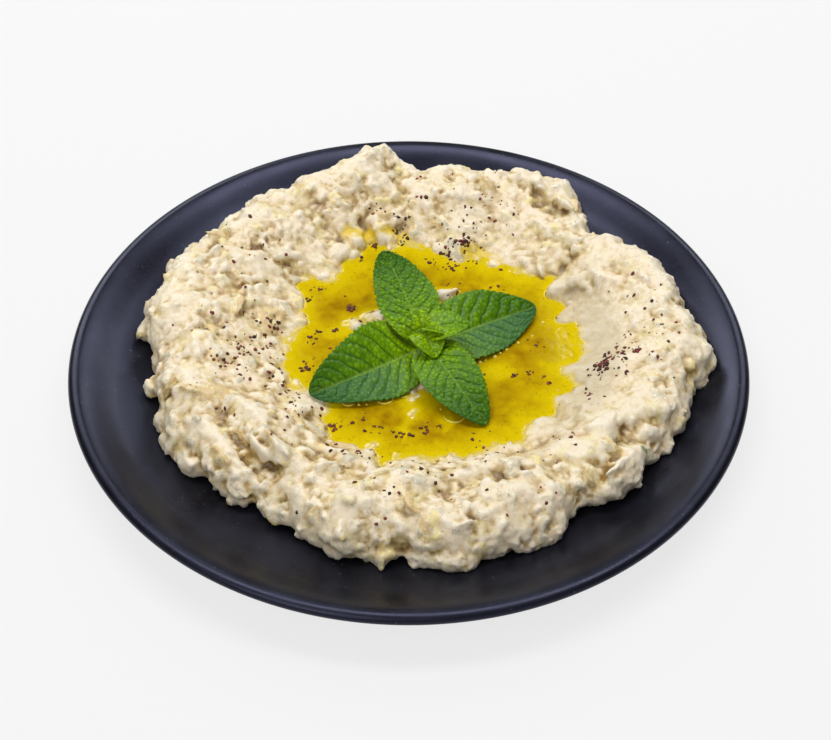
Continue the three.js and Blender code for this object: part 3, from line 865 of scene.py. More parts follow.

# %% [markdown]
# The mash is a warm cream where it stands up and catches the light. Its hollows are painted tan, then olive
# brown, the darker the deeper: painted shade, partly also the oil and the juice of the aubergine that gather
# there. It isn't stirred quite through, so it is yellower in some places and pinker in others. Single lumps
# differ as well: some are pale yellow like sesame paste, some are grey like plain flesh, and the strings are
# tan. Fine shreds and flecks are bits of skin, and where the spoon swept it the mash is greyer. In a few deep
# folds golden oil has run together, painted darker brown where a fold is deepest, partly as painted shade;
# along the shore of the pool the mash is soaked with it, and a scrap or two of herb is green.


# %% Finish of the mash
def make_mash():
    finish = Finish("aubergine_mash", Roughness=0.4, IOR=1.42, Coat_Weight=0.18, Coat_Roughness=0.26)
    hollow = finish.attribute("hollow")
    tint = finish.attribute("tint")
    # the deeper a hollow or broad valley, the darker the scale below: painted shade, partly also gathered oil
    # and juice
    depth = hollow * 1.15 + finish.attribute("valley") * 0.26 + (finish.noise(9 * MM, 3.0) - 0.5) * 0.5
    stops = [
        (0.0, paint(235, 224, 201)),
        (0.4, paint(231, 215, 185)),
        (0.57, paint(215, 193, 151)),
        (0.71, paint(182, 154, 102)),
        (0.9, paint(118, 90, 48)),
    ]
    yellowish = finish.noise(7 * MM, 3.0, Distortion=1.0).ramp(0.52, 0.7)
    pinkish = finish.noise(5.5 * MM, 2.0, Distortion=0.6).ramp(0.56, 0.72)
    sesame = tint.ramp(0.84, 0.88) * (tint < 1.05)
    flesh = tint.ramp(0.6, 0.64) * (tint < 0.74)
    string = tint > 1.05
    shred = finish.noise(2.6 * MM, 2.0, Distortion=1.2).ramp(0.6, 0.68)
    fleck = finish.noise(1.6 * MM, 2.0).ramp(0.68, 0.74)
    swept = finish.attribute("swept").ramp(0.4, 0.95)
    # the golden oil is painted darker brown the deeper its fold, partly as painted shade
    syrup = finish.scale([(0.0, paint(208, 168, 76)), (1.0, paint(102, 74, 20))], hollow.ramp(-0.2, 1.0))
    colour = finish.layers(
        finish.scale(stops, depth.ramp(-1.2, 1.4)),
        (yellowish * 0.45, paint(226, 212, 146)),
        (pinkish * 0.3, paint(226, 192, 164)),
        (sesame * 0.65, paint(228, 208, 128)),
        (flesh * 0.6, paint(188, 180, 152)),
        (string * 0.7, paint(206, 172, 106)),
        (shred * 0.3, paint(170, 156, 104)),
        (fleck * 0.4, paint(140, 116, 80)),
        (swept * 0.8, paint(196, 181, 149)),
        (finish.attribute("herb"), paint(84, 112, 20)),
        (finish.attribute("gold"), syrup),
        (finish.attribute("soaked"), paint(218, 188, 48)),
    )
    finish.set(Base_Color=colour, Subsurface_Weight=0.15, Subsurface_Scale=2 * MM)
    finish.set(Subsurface_Radius=(1.0, 0.75, 0.4))
    finish.bump(finish.noise(0.9 * MM, 3.0), 0.12 * MM)
    return finish.ready()


mash = make_mash()

# %% [markdown]
# The welded skin is a little soft, so this tree cuts it up again: cells of a Voronoi pattern swell into
# crumbs with sharp valleys between them, as in chopped flesh, but hardly where the spoon swept. What would
# sink into the plate is lifted to lie just above it.


# %% Crumbs
def swept_by_spoon(place):
    """How smooth the spoon left the mash: most at the right of the pool, some all round it, not outside."""
    out, direction = around_dip(place)
    return out.ramp(70 * MM, SLOPE_REACH, 1.0, 0.0) * (swept_side(direction) * 0.55 + 0.4)


def crumb_recipe():
    recipe = Recipe(
        "mash_crumbs",
        Material=mash,
        Crumb=0.17 * MM,
        Fold=0.5 * MM,
        Chopped=0.45 * MM,
        Clearance=0.1 * MM,
    )
    place = recipe.position()
    fine = noise(place, 1.9 * MM, 2.0) - 0.5
    broad = noise(place, 4.5 * MM, 2.0) - 0.5
    bent = place.plus(noise(place, 2.6 * MM, 1.0, out=1).centred().times(2.4 * MM))
    cells = {"Vector": bent, "Scale": 1 / (3.6 * MM), "Randomness": 1.0}
    edge = recipe.node("ShaderNodeTexVoronoi", cells, feature="DISTANCE_TO_EDGE")
    chop = (edge.ramp(0.0, 0.34) - 0.7) * noise(place, 11 * MM, 1.0).ramp(0.35, 0.6, 0.25, 1.0)
    push = fine * recipe.input("Crumb") * 4.0 + broad * recipe.input("Fold") * 3.0
    push = push + chop * recipe.input("Chopped") * (1.0 - swept_by_spoon(place))
    x, y, z = place.plus(recipe.normal().times(push)).parts()
    from_axis = (x * x + y * y) ** 0.5
    rise = ((from_axis - FLAT_RADIUS) / (RIM_INSIDE - FLAT_RADIUS)).most(0.0) ** RIM_CURVE
    plate_top = rise * RIM_RISE + FLOOR_TOP + recipe.input("Clearance")
    recipe.finish(recipe.move(recipe.geometry, Position=place.xyz(x, y, z.most(plate_top))))
    return recipe


crumb_recipe().make(dip)
print("skin:", [round(value / MM, 1) for value in dip.dimensions], "mm")

# %% [markdown]
# The colour of the mash needs to know a few things about each place, and they are written down as attributes.
# Two blurred copies of the surface tell how hollow it is: where the blurred copy lies above the surface there
# is a hollow, and where it lies below there is a bump, and the colour paints shade into the hollows from
# this.
# A remesh forgets every attribute, so the tint of each lump is sampled again from the thrown lumps, which are
# still there. Golden oil, films of oil and scraps of herb lie where these tables say.

# %% Places of the stains
# Folds where golden oil has gathered: x, y and radius in millimetres.
GOLDEN_FOLDS = [
    (73, -67, 5), (80, -60, 3), (-61, -58, 5), (-60, -71, 3), (-30, -61, 4), (-38, -54, 3.5),
    (-97, 17, 3.5), (-69, 30, 4), (-75, 50, 4), (-84, -9, 3), (-100, -12, 4), (111, -13, 5),
    (86, 33, 4), (50, 72, 5), (56, 90, 5), (29, 92, 4), (13, 93, 4), (-6, 90, 7),
]
# Scraps of green herb in the mash, in the same way.
HERBS = [(89, -54, 1.5), (-96, 51, 1.2)]
# Where oil has run up between the tongues, in the same way.
FILMS = [
    (-25, 71, 4.5), (-18, 71, 4), (-10, 73, 5), (-2, 71, 4),
    (24, 62, 5), (33, 60, 5), (-40, 46, 4), (-44, -18, 5),
]


# %% Hollows and stains
def stain_recipe():
    recipe = Recipe("mash_stains", Material=mash, Lumps=raw)
    place = recipe.position()
    x, y, z = place.parts()

    def spots(rows):
        total = 0.0
        for at_x, at_y, radius in rows:
            total = (x - at_x * MM).bell(radius * MM) * (y - at_y * MM).bell(radius * MM) + total
        return total

    geometry = recipe.geometry
    for name, times in (("hollow", 12), ("valley", 120)):
        blur = {"Value": place, "Iterations": times, "Weight": 1.0}
        blurred = recipe.node("GeometryNodeBlurAttribute", blur, data_type="FLOAT_VECTOR")
        above = blurred.vector("SUBTRACT", blurred, place)
        depth = above.vector("DOT_PRODUCT", above, recipe.normal(), out=1) / MM
        geometry = recipe.store(geometry, name, depth)
    cloud = noise(place, 3 * MM, 2.0).ramp(0.4, 0.6)
    folded = recipe.attribute("hollow").ramp(-0.3, 0.5)
    uneven = (noise(place, 4.5 * MM, 2.0) - 0.5) * 3 * MM
    near_oil = (z + uneven).ramp(OIL_LEVEL, OIL_LEVEL + 1.2 * MM, 1.0, 0.0)
    out, _ = around_dip(place)
    soaked = near_oil * out.ramp(POOL_REACH - 8 * MM, POOL_REACH, 1.0, 0.0) * 0.6
    film = (spots(FILMS) * cloud.ramp(0.0, 1.0, 0.7, 1.0) * folded.ramp(0.0, 1.0, 0.6, 1.0)).ramp(0.25, 0.6)
    nearest = {"Mesh": recipe.mesh_of("Lumps"), "Value": recipe.attribute("tint"), "Sample Position": place}
    stains = {
        "gold": spots(GOLDEN_FOLDS).least(1.0) * cloud * folded,
        "herb": spots(HERBS).ramp(0.3, 0.5) * 0.9,
        "swept": swept_by_spoon(place),
        "soaked": soaked.most(film),
        "tint": recipe.node("GeometryNodeSampleNearestSurface", nearest, data_type="FLOAT"),
    }
    for name, value in stains.items():
        geometry = recipe.store(geometry, name, value)
    recipe.finish(geometry)
    return recipe


stain_recipe().make(dip)
bpy.data.objects.remove(raw)
print("stains:", [stain.name for stain in dip.data.attributes if stain.data_type == "FLOAT"])

# %% [markdown]
# The skin has far more triangles than it needs where it is flat, above all underneath. Decimate takes those
# away first and leaves the lumps alone.

# %% Thin out the flat parts
MASH_TRIANGLES = 190_000

thinning = dip.modifiers.new("thin", "DECIMATE")
thinning.ratio = MASH_TRIANGLES / count_triangles(dip)
settle(dip)
hand_over(dip, "aubergine_dip", "dip")

# %% [markdown]
# ## Olive oil
# The oil is one pool round the mound in the middle. Its top is level, and it climbs a little where it wets
# the mash. What one sees is mostly how deep it is: pale and milky over a lump just below the surface, clear
# yellow over the slope, and old gold over the deep moat.
#
# A fluid simulation could fill the well. But oil at rest is flat, so a grid at its level does the same work:
# a ray from each point down to the mash measures the depth, and points that meet mash above the level go.
# Where only a corner or a lone edge is left between two holes, the sheet would not close, so such pinched
# points are trimmed as well, which may pinch the next ones: hence the rounds. The rest is given a bottom. The
# depth is kept as an attribute, and the colour is read from it.
#
# Oil pressed at home isn't quite clear. It holds motes of the fruit, and fine swirls where it was poured.


# %% Finish of the oil
DEEPEST = 6.0  # mm, the depth at the dark end of the scale of colours


def make_oil():
    finish = Finish("olive_oil", Roughness=0.07, IOR=1.47)
    cloud = finish.noise(8 * MM, 4.0) - 0.5
    streak = finish.noise(2.6 * MM, 3.0) - 0.5
    depth = finish.attribute("depth") + cloud * 4.5 + streak * 1.6
    stops = [
        (0.0, paint(212, 190, 96)),
        (0.05, paint(213, 187, 34)),
        (0.14, paint(213, 187, 2)),
        (0.5, paint(201, 173, 0)),
        (0.8, paint(180, 147, 0)),
        (1.0, paint(150, 112, 0)),
    ]
    mote = finish.noise(1.2 * MM, 2.0, Distortion=0.8).ramp(0.63, 0.73)
    swirl = finish.noise(3.2 * MM, 4.0, Distortion=2.5).ramp(0.54, 0.7)
    colour = finish.layers(
        finish.scale(stops, depth / DEEPEST),
        (mote * 0.5, paint(124, 88, 0)),
        (swirl * 0.36, paint(144, 118, 0)),
    )
    finish.set(Base_Color=colour)
    finish.bump(finish.noise(5 * MM, 2.0), 0.06 * MM)
    return finish.ready()


oil = make_oil()


# %% Drop points to a surface
_, dip_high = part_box("dip")


def drop_to(recipe, surface):
    """The place on a surface straight below each point, met by a ray from well above the dip."""
    height = 2 * dip_high.z
    x, y, _ = recipe.position().parts()
    ray = {"Source Position": x.xyz(x, y, height), "Ray Length": 2 * height}
    ray["Target Geometry"] = recipe.mesh_of(surface)
    return recipe.node("GeometryNodeRaycast", ray, out=1)


# %% Pour the oil
SHORE = -0.8  # mm of depth: the sheet ends where the mash stands this much above the level
TRIMMING_ROUNDS = 6


def pool_recipe():
    recipe = Recipe(
        "oil_pool",
        Material=oil,
        Mash=dip,
        Level=OIL_LEVEL,
        Reach=POOL_REACH,
        Climb=0.35 * MM,
        Wetting=0.5,
        Thinnest=0.2 * MM,
        Cells=240,
    )
    level = recipe.input("Level")
    reach = recipe.input("Reach")
    cells = recipe.input("Cells")
    grid = {"Size X": reach * 2.0, "Size Y": reach * 2.0, "Vertices X": cells, "Vertices Y": cells}
    sheet = recipe.node("GeometryNodeMeshGrid", grid)
    sheet = recipe.move(sheet, Offset=(DIP_MIDDLE.x, DIP_MIDDLE.y, 0.0))
    _, _, bed = drop_to(recipe, "Mash").parts()
    sheet = recipe.store(sheet, "depth", (level - bed) / MM)
    depth = recipe.attribute("depth")
    place = recipe.position()
    out, _ = around_dip(place)
    sheet = recipe.without(sheet, (out > reach).most(depth < SHORE))
    # a point at the shore has one edge more than it has faces, and a pinched point two more
    edges = recipe.node("GeometryNodeInputMeshVertexNeighbors")
    faces = edges.output("Face Count")
    pinched = ((edges - faces) > 1.5).most(faces < 0.5)
    for _ in range(TRIMMING_ROUNDS):
        sheet = recipe.without(sheet, pinched)
    x, y, _ = place.parts()
    top = level + (-(depth.most(0.0) / recipe.input("Wetting"))).exp() * recipe.input("Climb")
    bottom = (level - depth * MM + recipe.input("Thinnest")).least(top - recipe.input("Thinnest"))
    sheet = recipe.move(sheet, Position=x.xyz(x, y, bottom))
    raised = recipe.node("GeometryNodeExtrudeMesh", {"Mesh": sheet, "Offset Scale": 0.0, "Individual": False})
    raised = recipe.move(raised, Selection=raised.output("Top"), Position=x.xyz(x, y, top))
    underside = recipe.node("GeometryNodeFlipFaces", {"Mesh": sheet})
    closed = {"Geometry": recipe.join(raised, underside), "Distance": 0.005 * MM}
    recipe.finish(recipe.node("GeometryNodeMergeByDistance", closed))
    return recipe


pool = new_object("oil_pool")
pool_recipe().make(pool)
hand_over(pool, "olive_oil", "olive_oil")

# %% [markdown]
# ## Mint
# A mint leaf is a soft oval with a toothed edge. Its side veins leave the midrib in pairs, curve towards the
# tip and lie sunk in the upper face, and the blade swells between them, with a net of finer veins on top. The
# leaves could be sculpted one by one. But they all grow by the same rule, so one tree makes them from a grid:
# along the grid runs the midrib, across it the two halves, and each leaf has its own length, width and bend.
# The tree also writes down where the veins and their net run, how old the blade is, since the young green by
# the stem is brighter, and how much a half hangs, since such a half is shaded and looks cooler.


# %% Finish of the leaves
def make_leaf_top():
    finish = Finish("mint_leaf_top", Roughness=0.32, IOR=1.42)
    finish.set(Specular_IOR_Level=0.24, Specular_Tint=paint(215, 236, 250))
    stops = [
        (0.0, paint(160, 196, 4)),
        (0.3, paint(126, 171, 0)),
        (0.65, paint(94, 138, 0)),
        (1.0, paint(60, 102, 4)),
    ]
    cloud = finish.noise(6 * MM, 3.0) - 0.5
    colour = finish.layers(
        finish.scale(stops, finish.attribute("age") + cloud * 0.5),
        (finish.attribute("shaded") * 0.4, paint(60, 106, 84)),
        # the sunken veins and the lines of the net are painted dark: painted shade in their grooves
        (finish.attribute("vein") * 0.92, paint(16, 44, 6)),
        (finish.attribute("net") * 0.6, paint(34, 78, 4)),
        (finish.attribute("rib") * 0.6, paint(146, 180, 80)),
    )
    finish.set(Base_Color=colour)
    finish.bump(finish.noise(0.7 * MM, 2.0), 0.05 * MM)
    return finish.ready()


def make_leaf_underside():
    finish = Finish("mint_leaf_underside", Roughness=0.62, IOR=1.4)
    colour = finish.blend(finish.attribute("vein"), paint(104, 140, 62), paint(140, 170, 92))
    finish.set(Base_Color=colour)
    return finish.ready()


leaf_top = make_leaf_top()
leaf_underside = make_leaf_underside()


# %% Outline of a leaf
STALK = 0.03  # share of the length that is bare stalk
FULLNESS = 0.62  # power of the sine that draws each half: the less, the blunter its ends


def toothed_half(recipe, share, side, blade):
    """How far each half reaches from the midrib, with teeth that show only at its edge."""
    oval = ((blade ** recipe.input("Broadest")) * math.pi).sin().most(0.0) ** FULLNESS
    half = share.ramp(0.0, 1.0, 0.8 * MM, 0.3 * MM) + recipe.input("Width") * 0.5 * oval
    wander = noise(share.xyz(share * 9.0, side, 0.0), 1.0, 0.0) * 0.9
    saw = (share * recipe.input("Teeth") + wander).fract() - 0.5
    at_edge = side.size() ** 10.0
    return half * (saw * at_edge * blade.ramp(0.04, 0.2) * recipe.input("Tooth") + 1.0)


# %% Veins of a leaf
def side_veins(recipe, share, side, on_left):
    """Where the side veins run, which curve towards the tip, and how the blade swells between them."""
    spread = side.size() * 0.6 + side * side * 0.4
    pairs = recipe.input("Vein_Pairs")
    length = recipe.input("Length")
    uneven = noise(share.xyz(share * 2.6, side, 4.0), 1.0, 1.0) * 0.22
    step = (share - spread * 0.24 + uneven) * pairs + on_left * 0.4
    away = ((step + 0.5).fract() - 0.5).size() / pairs * length
    inner = 1.0 - side.size() ** 6.0
    vein = away.bell(length * 0.008) * inner
    swell = (step * math.pi).sin().size() ** 0.7 * inner * side.size().ramp(0.0, 0.15)
    return vein, swell


def fine_net(recipe, flat):
    """The cells between the finest veins: 1 in the middle of a cell, 0 along its edge."""
    cells = {"Vector": flat, "Scale": 1 / (1.7 * MM)}
    edge = recipe.node("ShaderNodeTexVoronoi", cells, feature="DISTANCE_TO_EDGE")
    return edge.ramp(0.0, 0.3)


# %% Grow a leaf
LEAF_LENGTH = 48 * MM  # of a large leaf


def leaf_recipe():
    recipe = Recipe(
        "mint_leaf",
        Material=leaf_top,
        Length=LEAF_LENGTH,
        Width=26 * MM,
        Left_Slope=0.0,
        Right_Slope=0.0,
        Bow=0.0,
        Arch=0.0,
        Wave=0.0,
        Broadest=0.74,
        Age=1.0,
        Teeth=22.0,
        Tooth=0.075,
        Vein_Pairs=9.0,
        Quilt=0.5 * MM,
        Net=0.26 * MM,
        Cells_Along=150,
        Cells_Across=57,
    )
    cells = {"Vertices X": recipe.input("Cells_Along"), "Vertices Y": recipe.input("Cells_Across")}
    grid = recipe.node("GeometryNodeMeshGrid", {"Size X": 1.0, "Size Y": 2.0, **cells})
    x, side, _ = recipe.position().parts()
    even = x + 0.5
    crowded = 0.5 - (even * math.pi).cos() * 0.5
    share = even * 0.6 + crowded * 0.4  # along the leaf, with more points at both ends
    blade = ((share - STALK) / (1 - STALK)).most(0.0)
    on_left = side > 0.0
    along = share * recipe.input("Length")
    across = side * toothed_half(recipe, share, side, blade)
    vein, swell = side_veins(recipe, share, side, on_left)
    dome = fine_net(recipe, x.xyz(along, across, 0.0))
    rib = across.bell(recipe.input("Length") * 0.011) * (1.0 - share * 0.5)
    middle = (share * math.pi).sin()
    slope = on_left * recipe.input("Left_Slope") + (1.0 - on_left) * recipe.input("Right_Slope")
    climb = across.size() * slope * (share * 5.0).least(1.0)
    ripple = recipe.input("Wave") * side * (share * (4 * math.pi)).sin()
    relief = swell * recipe.input("Quilt") + dome * recipe.input("Net") - rib * 0.35 * MM
    height = recipe.input("Arch") * middle + climb + ripple + relief * blade.ramp(0.02, 0.15)
    marks = {
        "vein": vein,
        "rib": rib,
        "net": 1.0 - dome,
        "shaded": slope.ramp(-0.25, 0.0, 1.0, 0.0) * share.ramp(0.1, 0.5),
        "age": (share * 0.95 + 0.05) * recipe.input("Age"),
    }
    for name, value in marks.items():
        grid = recipe.store(grid, name, value)
    shape = x.xyz(along, across + recipe.input("Bow") * middle, height)
    recipe.finish(recipe.move(grid, Position=shape))
    return recipe


grow_leaf = leaf_recipe()
print("leaf recipe:", len(grow_leaf.tree.nodes), "nodes")

# %% [markdown]
# The sprig has two pairs of large leaves, crossed as mint's always are, two small leaves above them and two
# buds at its tip. Each lies from a base beside the stem to a tip, with its two halves raised or hung by an
# angle. The left and right leaves rest on the oil with the near half, and hold the far half up.

# %% Leaves of the sprig
# base, tip, width, slope of the left and right half in degrees, bow, arch and wave; all else in millimetres
LEAVES = {
    "leaf_left": ((5.2, -1.2, 21.4), (-38.6, -24.8, 19.4), 27, (-17, 36), 1, 0.6, 0.5),
    "leaf_right": ((5.8, -0.6, 21.2), (51.6, 26.6, 18), 26, (28, -14.5), 0, 0.6, 0.5),
    "leaf_back": ((5.0, -1.6, 25), (-10.6, 42.2, 34), 23.5, (8, 4), -0.6, 2.5, 0.5),
    "leaf_front": ((5.6, -0.8, 25.4), (29.6, -37.9, 16), 22.5, (6, -4), -1, 3, 0.4),
    "small_right": ((6, -0.8, 29.4), (24, 3, 30.8), 14, (14, 6), 0.5, 1.2, 0.2),
    "small_front": ((4.6, 0.2, 30), (10.4, -11.6, 26.4), 13.5, (14, 18), 0.5, 1.2, 0.1),
    "bud_right": ((6, -1.2, 31.8), (13.6, -4.4, 32.4), 4, (35, 35), 0.3, 0.5, 0),
    "bud_back": ((6, -0.6, 30.8), (1.8, 6.4, 35.4), 6.4, (25, 25), 0, 0.8, 0),
}
# How much the net of fine veins swells on the leaves where it shows most, in millimetres.
PUCKERED = {"leaf_back": 0.7, "leaf_front": 0.4}
# How old a leaf is, where 1 is full-grown.
AGES = {"small_right": 0.45, "small_front": 0.2, "bud_right": 0.2, "bud_back": 0.15}
# Where a leaf is broadest: the less, the nearer to its base.
BROADEST = {"leaf_left": 0.62, "leaf_right": 0.8, "small_right": 0.66, "small_front": 0.6}

# %% The sprig
LEAF_THICKNESS = 0.4 * MM
SMALL_LEAF = 30 * MM  # a shorter leaf than this has fewer teeth, veins and cells


def leaf_frame(base, tip):
    """The matrix that lays a leaf along +X down between two points, with its face up."""
    along = (tip - base).normalized()
    across = Vector((0, 0, 1)).cross(along).normalized()
    matrix = Matrix((along, across, along.cross(across))).transposed().to_4x4()
    matrix.translation = base
    return matrix


def make_leaf(name, base, tip, width, slopes, bow, arch, wave):
    base = Vector(base) * MM
    tip = Vector(tip) * MM
    length = (tip - base).length
    sizes = {"Length": length, "Width": width * MM, "Bow": bow * MM, "Arch": arch * MM, "Wave": wave * MM}
    left, right = [math.tan(math.radians(slope)) for slope in slopes]
    sizes.update(Left_Slope=left, Right_Slope=right, Age=AGES.get(name, 1.0))
    if length < SMALL_LEAF:
        share = length / LEAF_LENGTH
        sizes.update(Teeth=10.0, Vein_Pairs=5.0, Quilt=0.9 * share * MM, Net=0.08 * MM, Tooth=0.04)
        sizes.update(Cells_Along=72, Cells_Across=29)
    if name in BROADEST:
        sizes.update(Broadest=BROADEST[name])
    if name in PUCKERED:
        sizes.update(Net=PUCKERED[name] * MM)
    leaf = new_object(name)
    grow_leaf.make(leaf, **sizes)
    leaf.data.materials.append(leaf_underside)
    thick = leaf.modifiers.new("thickness", "SOLIDIFY")
    thick.thickness = LEAF_THICKNESS
    thick.offset = 0.0
    thick.material_offset = 1
    settle(leaf)
    leaf.data.transform(leaf_frame(base, tip))
    hand_over(leaf, "mint_leaf", "mint_" + name)


for name, row in LEAVES.items():
    make_leaf(name, *row)

# %% [markdown]
# Mint has a square stem with rounded corners, which thins towards the growing tip. Curve to Mesh sweeps such
# a square along a short line, and a scale that falls along the line gives the taper.


# %% Stem
def make_stem_finish():
    finish = Finish("mint_stem_skin", Roughness=0.45, IOR=1.45)
    finish.set(Base_Color=finish.blend(finish.noise(3 * MM), paint(104, 150, 40), paint(142, 180, 74)))
    return finish.ready()


def stem_recipe():
    recipe = Recipe("mint_stem", Material=make_stem_finish(), Bottom=19.8 * MM, Top=32 * MM, Side=2.0 * MM)
    x, y = 5.5 * MM, -1 * MM
    place = recipe.position()
    ends = {"Start": place.xyz(x, y, recipe.input("Bottom")), "End": place.xyz(x, y, recipe.input("Top"))}
    line = recipe.node("GeometryNodeCurvePrimitiveLine", ends)
    line = recipe.node("GeometryNodeResampleCurve", {"Curve": line, "Count": 16})
    side = recipe.input("Side")
    square = recipe.node("GeometryNodeCurvePrimitiveQuadrilateral", {"Width": side, "Height": side})
    corner = {"Curve": square, "Radius": side * 0.3, "Count": 5}
    profile = recipe.node("GeometryNodeFilletCurve", corner, mode="POLY")
    _, _, z = place.parts()
    taper = z.ramp(20 * MM, 32 * MM, 1.0, 0.5)
    inputs = {"Curve": line, "Profile Curve": profile, "Scale": taper, "Fill Caps": True}
    recipe.finish(recipe.node("GeometryNodeCurveToMesh", inputs))
    return recipe


stem = new_object("stem")
stem_recipe().make(stem)
hand_over(stem, "mint_stem", "mint_stem")

# %% [markdown]
# ## Sumac
# Sumac is a dried berry, crushed to coarse flakes of dark red and nearly black. It is thrown in pinches, so
# the flakes lie in clusters with a light dusting between them. Particles would not reach the exported model,
# so the places are drawn at random here, around the middle of each pinch, and Geometry Nodes drop a small
# flake on each: a ray finds the surface below it, and the flake is turned to lie flat on that surface.


# %% Finish of the sumac
def make_sumac(name, *stops):
    finish = Finish(name, Roughness=0.5, IOR=1.45)
    marks = [(where, paint(*colour)) for where, colour in stops]
    finish.set(Base_Color=finish.scale(marks, finish.attribute("tone")))
    return finish.ready()


dry_sumac = make_sumac("sumac_dry", (0.0, (46, 30, 16)), (0.5, (86, 36, 26)), (1.0, (132, 50, 40)))
oiled_sumac = make_sumac("sumac_oiled", (0.0, (56, 24, 8)), (0.6, (104, 50, 10)), (1.0, (132, 66, 12)))

# %% Pinches of sumac
# Where each pinch fell: x, y, how far it spread, in millimetres, and how many flakes it has.
PINCHES_ON_DIP = [
    (76, -10, 2.2, 44), (79, -6, 3.4, 26), (84, -6, 3, 12), (90, -7, 1.6, 16),
    (74, -14, 3, 10), (88, 3, 5, 14), (82, -16, 5, 8), (68, -24, 7, 10),
    (97, 17, 3, 3), (102, 5, 4, 7), (23, 65, 1.8, 44), (16, 62, 3, 24),
    (26, 74, 9, 30), (40, 80, 9, 10), (-3, 76, 4, 16), (-14, 82, 5, 8),
    (4, 92, 6, 8), (30, 96, 8, 6), (-81, 4, 1.2, 4), (-80, 12, 3, 3),
    (-75, -13, 2.2, 8), (-68, -12, 4, 12), (-64, -17, 2, 6), (-66, 0, 4, 16),
    (-63, 15, 5, 8), (-55, 14, 2.4, 14), (-56, 4, 5, 14), (-52, -10, 4, 8),
    (-53, -22, 3, 4), (-46, -23, 4, 14), (-44, -38, 5, 10), (-35, -35, 3, 8),
    (-29, -52, 3, 8), (-21, -55, 4, 10), (-14, -54, 3, 6), (-85, -30, 2, 3),
    (-70, -39, 4, 5), (4, -66, 11, 18), (34, -58, 8, 12), (60, -50, 7, 8),
    (-10, -80, 16, 14), (40, -78, 14, 10), (-70, 0, 16, 24), (-62, 50, 16, 22),
    (95, -10, 12, 16), (90, 30, 10, 8), (0, 0, 70, 50),
]
PINCHES_ON_OIL = [
    (-24, 29, 1.2, 30), (-37, 41, 1.4, 9), (-42, 35, 1.6, 5), (-30, 16, 1.0, 5),
    (-37, 15, 1.4, 7), (-40, 9, 2.0, 9), (-41, -7, 1.8, 16), (-38, -2, 3.0, 6),
    (-15, 67, 1.2, 9), (-3, 69, 1.2, 8), (-20, 59, 1.0, 6), (-10, 60, 5, 5),
    (16, 43, 1.0, 4), (17, 55, 3.4, 12), (10, 57, 2.0, 6), (26, 56, 2.4, 5),
    (42, -10, 1.0, 5), (48, -9, 1.4, 4), (50, 6, 3.0, 6), (55, -12, 4, 5),
    (38, 38, 8, 5), (-29, -38, 2.2, 14), (-18, -36, 6, 7), (6, -40, 1.4, 12),
    (12, -38, 0.9, 5), (-4, -42, 2.4, 14), (-12, -39, 1.6, 5), (26, -45, 6, 7),
    (0, 0, 40, 30),
]


# %% Places of the flakes
def throw_pinches(name, pinches, seed):
    """An object that has one point for each flake."""
    random = np.random.default_rng(seed)
    points = []
    for x, y, spread, count in pinches:
        for right, back in random.normal(0.0, spread * 0.7, (count, 2)):
            points.append(((x + right) * MM, (y + back) * MM, 0.0))
    return new_object(name, points)


# %% Drop the flakes
def flake_recipe():
    recipe = Recipe(
        "sumac_flakes",
        Material=dry_sumac,
        Surface=dip,
        Lowest=OIL_LEVEL,
        Smallest=0.38 * MM,
        Largest=1.15 * MM,
        Ragged=0.4 * MM,
        Seed=5,
    )
    landing = drop_to(recipe, "Surface")
    _, _, height = landing.parts()
    missed = (1.0 - landing.output("Is Hit")).most(height < recipe.input("Lowest"))
    flakes = recipe.move(recipe.without(recipe.geometry, missed), Position=landing)
    seed = recipe.input("Seed")
    low, high = recipe.input("Smallest"), recipe.input("Largest")
    size = low + (high - low) * recipe.random(0.0, 1.0, seed) ** 1.8
    wide = size * recipe.random(0.55, 0.9, seed + 1)
    thick = size * recipe.random(0.4, 0.7, seed + 2)
    flat = recipe.node("FunctionNodeAlignRotationToVector", {"Vector": landing.output("Hit Normal")})
    rotation = recipe.turn(flat, 0.0, recipe.random(0.0, 2 * math.pi, seed + 3))
    flakes = recipe.put(recipe.ball(1), flakes, Rotation=rotation, Scale=size.xyz(size, wide, thick))
    flakes = recipe.store(flakes, "tone", recipe.random(0.0, 1.0, seed + 4), domain="INSTANCE")
    cloud = noise(recipe.position(), 0.5 * MM, 0.0, out=1)
    ragged = cloud.centred().times(recipe.input("Ragged") * 2.0)
    recipe.finish(recipe.move(recipe.real(flakes), Offset=ragged))
    return recipe


drop_flakes = flake_recipe()

on_dip = throw_pinches("sumac_on_dip", PINCHES_ON_DIP, 11)
drop_flakes.make(on_dip, Lowest=OIL_LEVEL + 0.3 * MM)
hand_over(on_dip, "aubergine_dip", "dip")

on_oil = throw_pinches("sumac_on_oil", PINCHES_ON_OIL, 23)
drop_flakes.make(on_oil, Material=oiled_sumac, Surface=pool, Lowest=OIL_LEVEL - 1 * MM, Seed=9)
hand_over(on_oil, "olive_oil", "olive_oil")

# %% [markdown]
# ## Rims of the oil
# Where a leaf dips into the oil, the oil climbs its edge, and small bubbles hang there. Their rims catch the
# lamp as thin bright crescents and beads, and their pale yellow, paler than the oil, is a painted highlight.
# A crescent is an arc swept with Curve to Mesh, thick in its middle and fine at its ends, and the beads are
# small balls on points, half sunk.

# %% Places of the crescents and beads
# Each crescent: x and y of its middle and its radius in millimetres, its start and its sweep in degrees.
CRESCENTS = [
    (-9.6, -21.9, 3.8, 190, 175), (-2.6, -19.6, 2.6, 250, 90),
    (17.6, -31.6, 4.2, 185, 165), (-23.6, -23.8, 3.0, 215, 110),
]
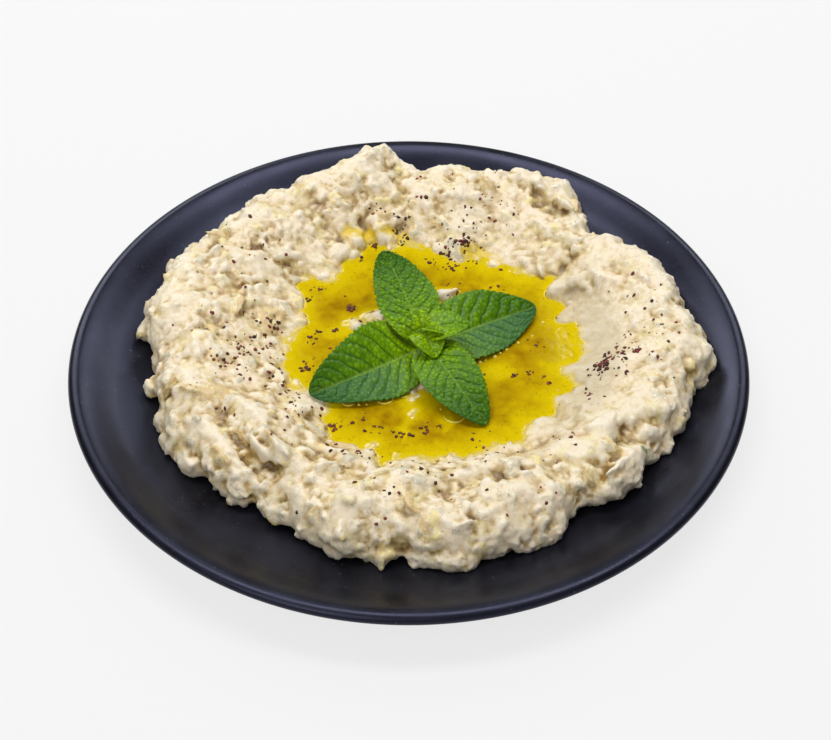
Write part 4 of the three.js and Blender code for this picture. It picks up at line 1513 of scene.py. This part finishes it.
# Each bead: x, y and radius in millimetres.
BEADS = [
    (28.4, -3.0, 0.9), (30.6, -1.8, 0.6), (34.4, 0.2, 0.9), (36.6, 2.4, 0.6),
    (39.2, 4.6, 0.8), (44.0, 8.2, 0.7), (50.0, 12.2, 0.6), (54.6, 20.0, 0.8),
    (-16.5, -26.2, 0.5), (-19.5, -26.4, 0.6), (12.4, -28.8, 0.5), (26.6, -34.6, 0.6),
]

# paler than the oil: a painted highlight on the rims and beads, which are real climbing oil and bubbles
painted_highlight_oil = Finish("oil_rims", Roughness=0.05, IOR=1.47, Base_Color=paint(232, 212, 84)).ready()

# %% Crescents and beads
ARC_STEPS = 14


def draw_rims(name):
    """The arcs as edges, and one loose point for each bead, with its size in the attribute bead."""
    points, edges, beads = [], [], []
    for x, y, radius, start, sweep in CRESCENTS:
        first = len(points)
        for k in range(ARC_STEPS + 1):
            turn = math.radians(start + sweep * k / ARC_STEPS)
            points.append(((x + radius * math.cos(turn)) * MM, (y + radius * math.sin(turn)) * MM, OIL_LEVEL))
            beads.append(0.0)
        edges += [(first + k, first + k + 1) for k in range(ARC_STEPS)]
    for x, y, radius in BEADS:
        points.append((x * MM, y * MM, OIL_LEVEL))
        beads.append(radius * MM)
    obj = new_object(name, points, edges)
    obj.data.attributes.new("bead", "FLOAT", "POINT").data.foreach_set("value", beads)
    return obj


def rim_recipe():
    recipe = Recipe("oil_rims", Material=painted_highlight_oil, Thickness=0.42 * MM, Sides=8)
    arcs = recipe.node("GeometryNodeMeshToCurve", {"Mesh": recipe.geometry})
    along = recipe.node("GeometryNodeSplineParameter", out=0)
    taper = (along * math.pi).sin() * 0.85 + 0.15
    circle = {"Resolution": recipe.input("Sides"), "Radius": recipe.input("Thickness")}
    profile = recipe.node("GeometryNodeCurvePrimitiveCircle", circle)
    sweep = {"Curve": arcs, "Profile Curve": profile, "Scale": taper, "Fill Caps": True}
    crescents = recipe.node("GeometryNodeCurveToMesh", sweep)
    size = recipe.attribute("bead")
    round_size = size.xyz(size, size, size)
    beads = recipe.put(recipe.ball(3), recipe.geometry, Selection=size > 0.0, Scale=round_size)
    recipe.finish(recipe.join(crescents, beads))
    return recipe


rims = draw_rims("oil_rims")
rim_recipe().make(rims)
hand_over(rims, "olive_oil", "olive_oil")
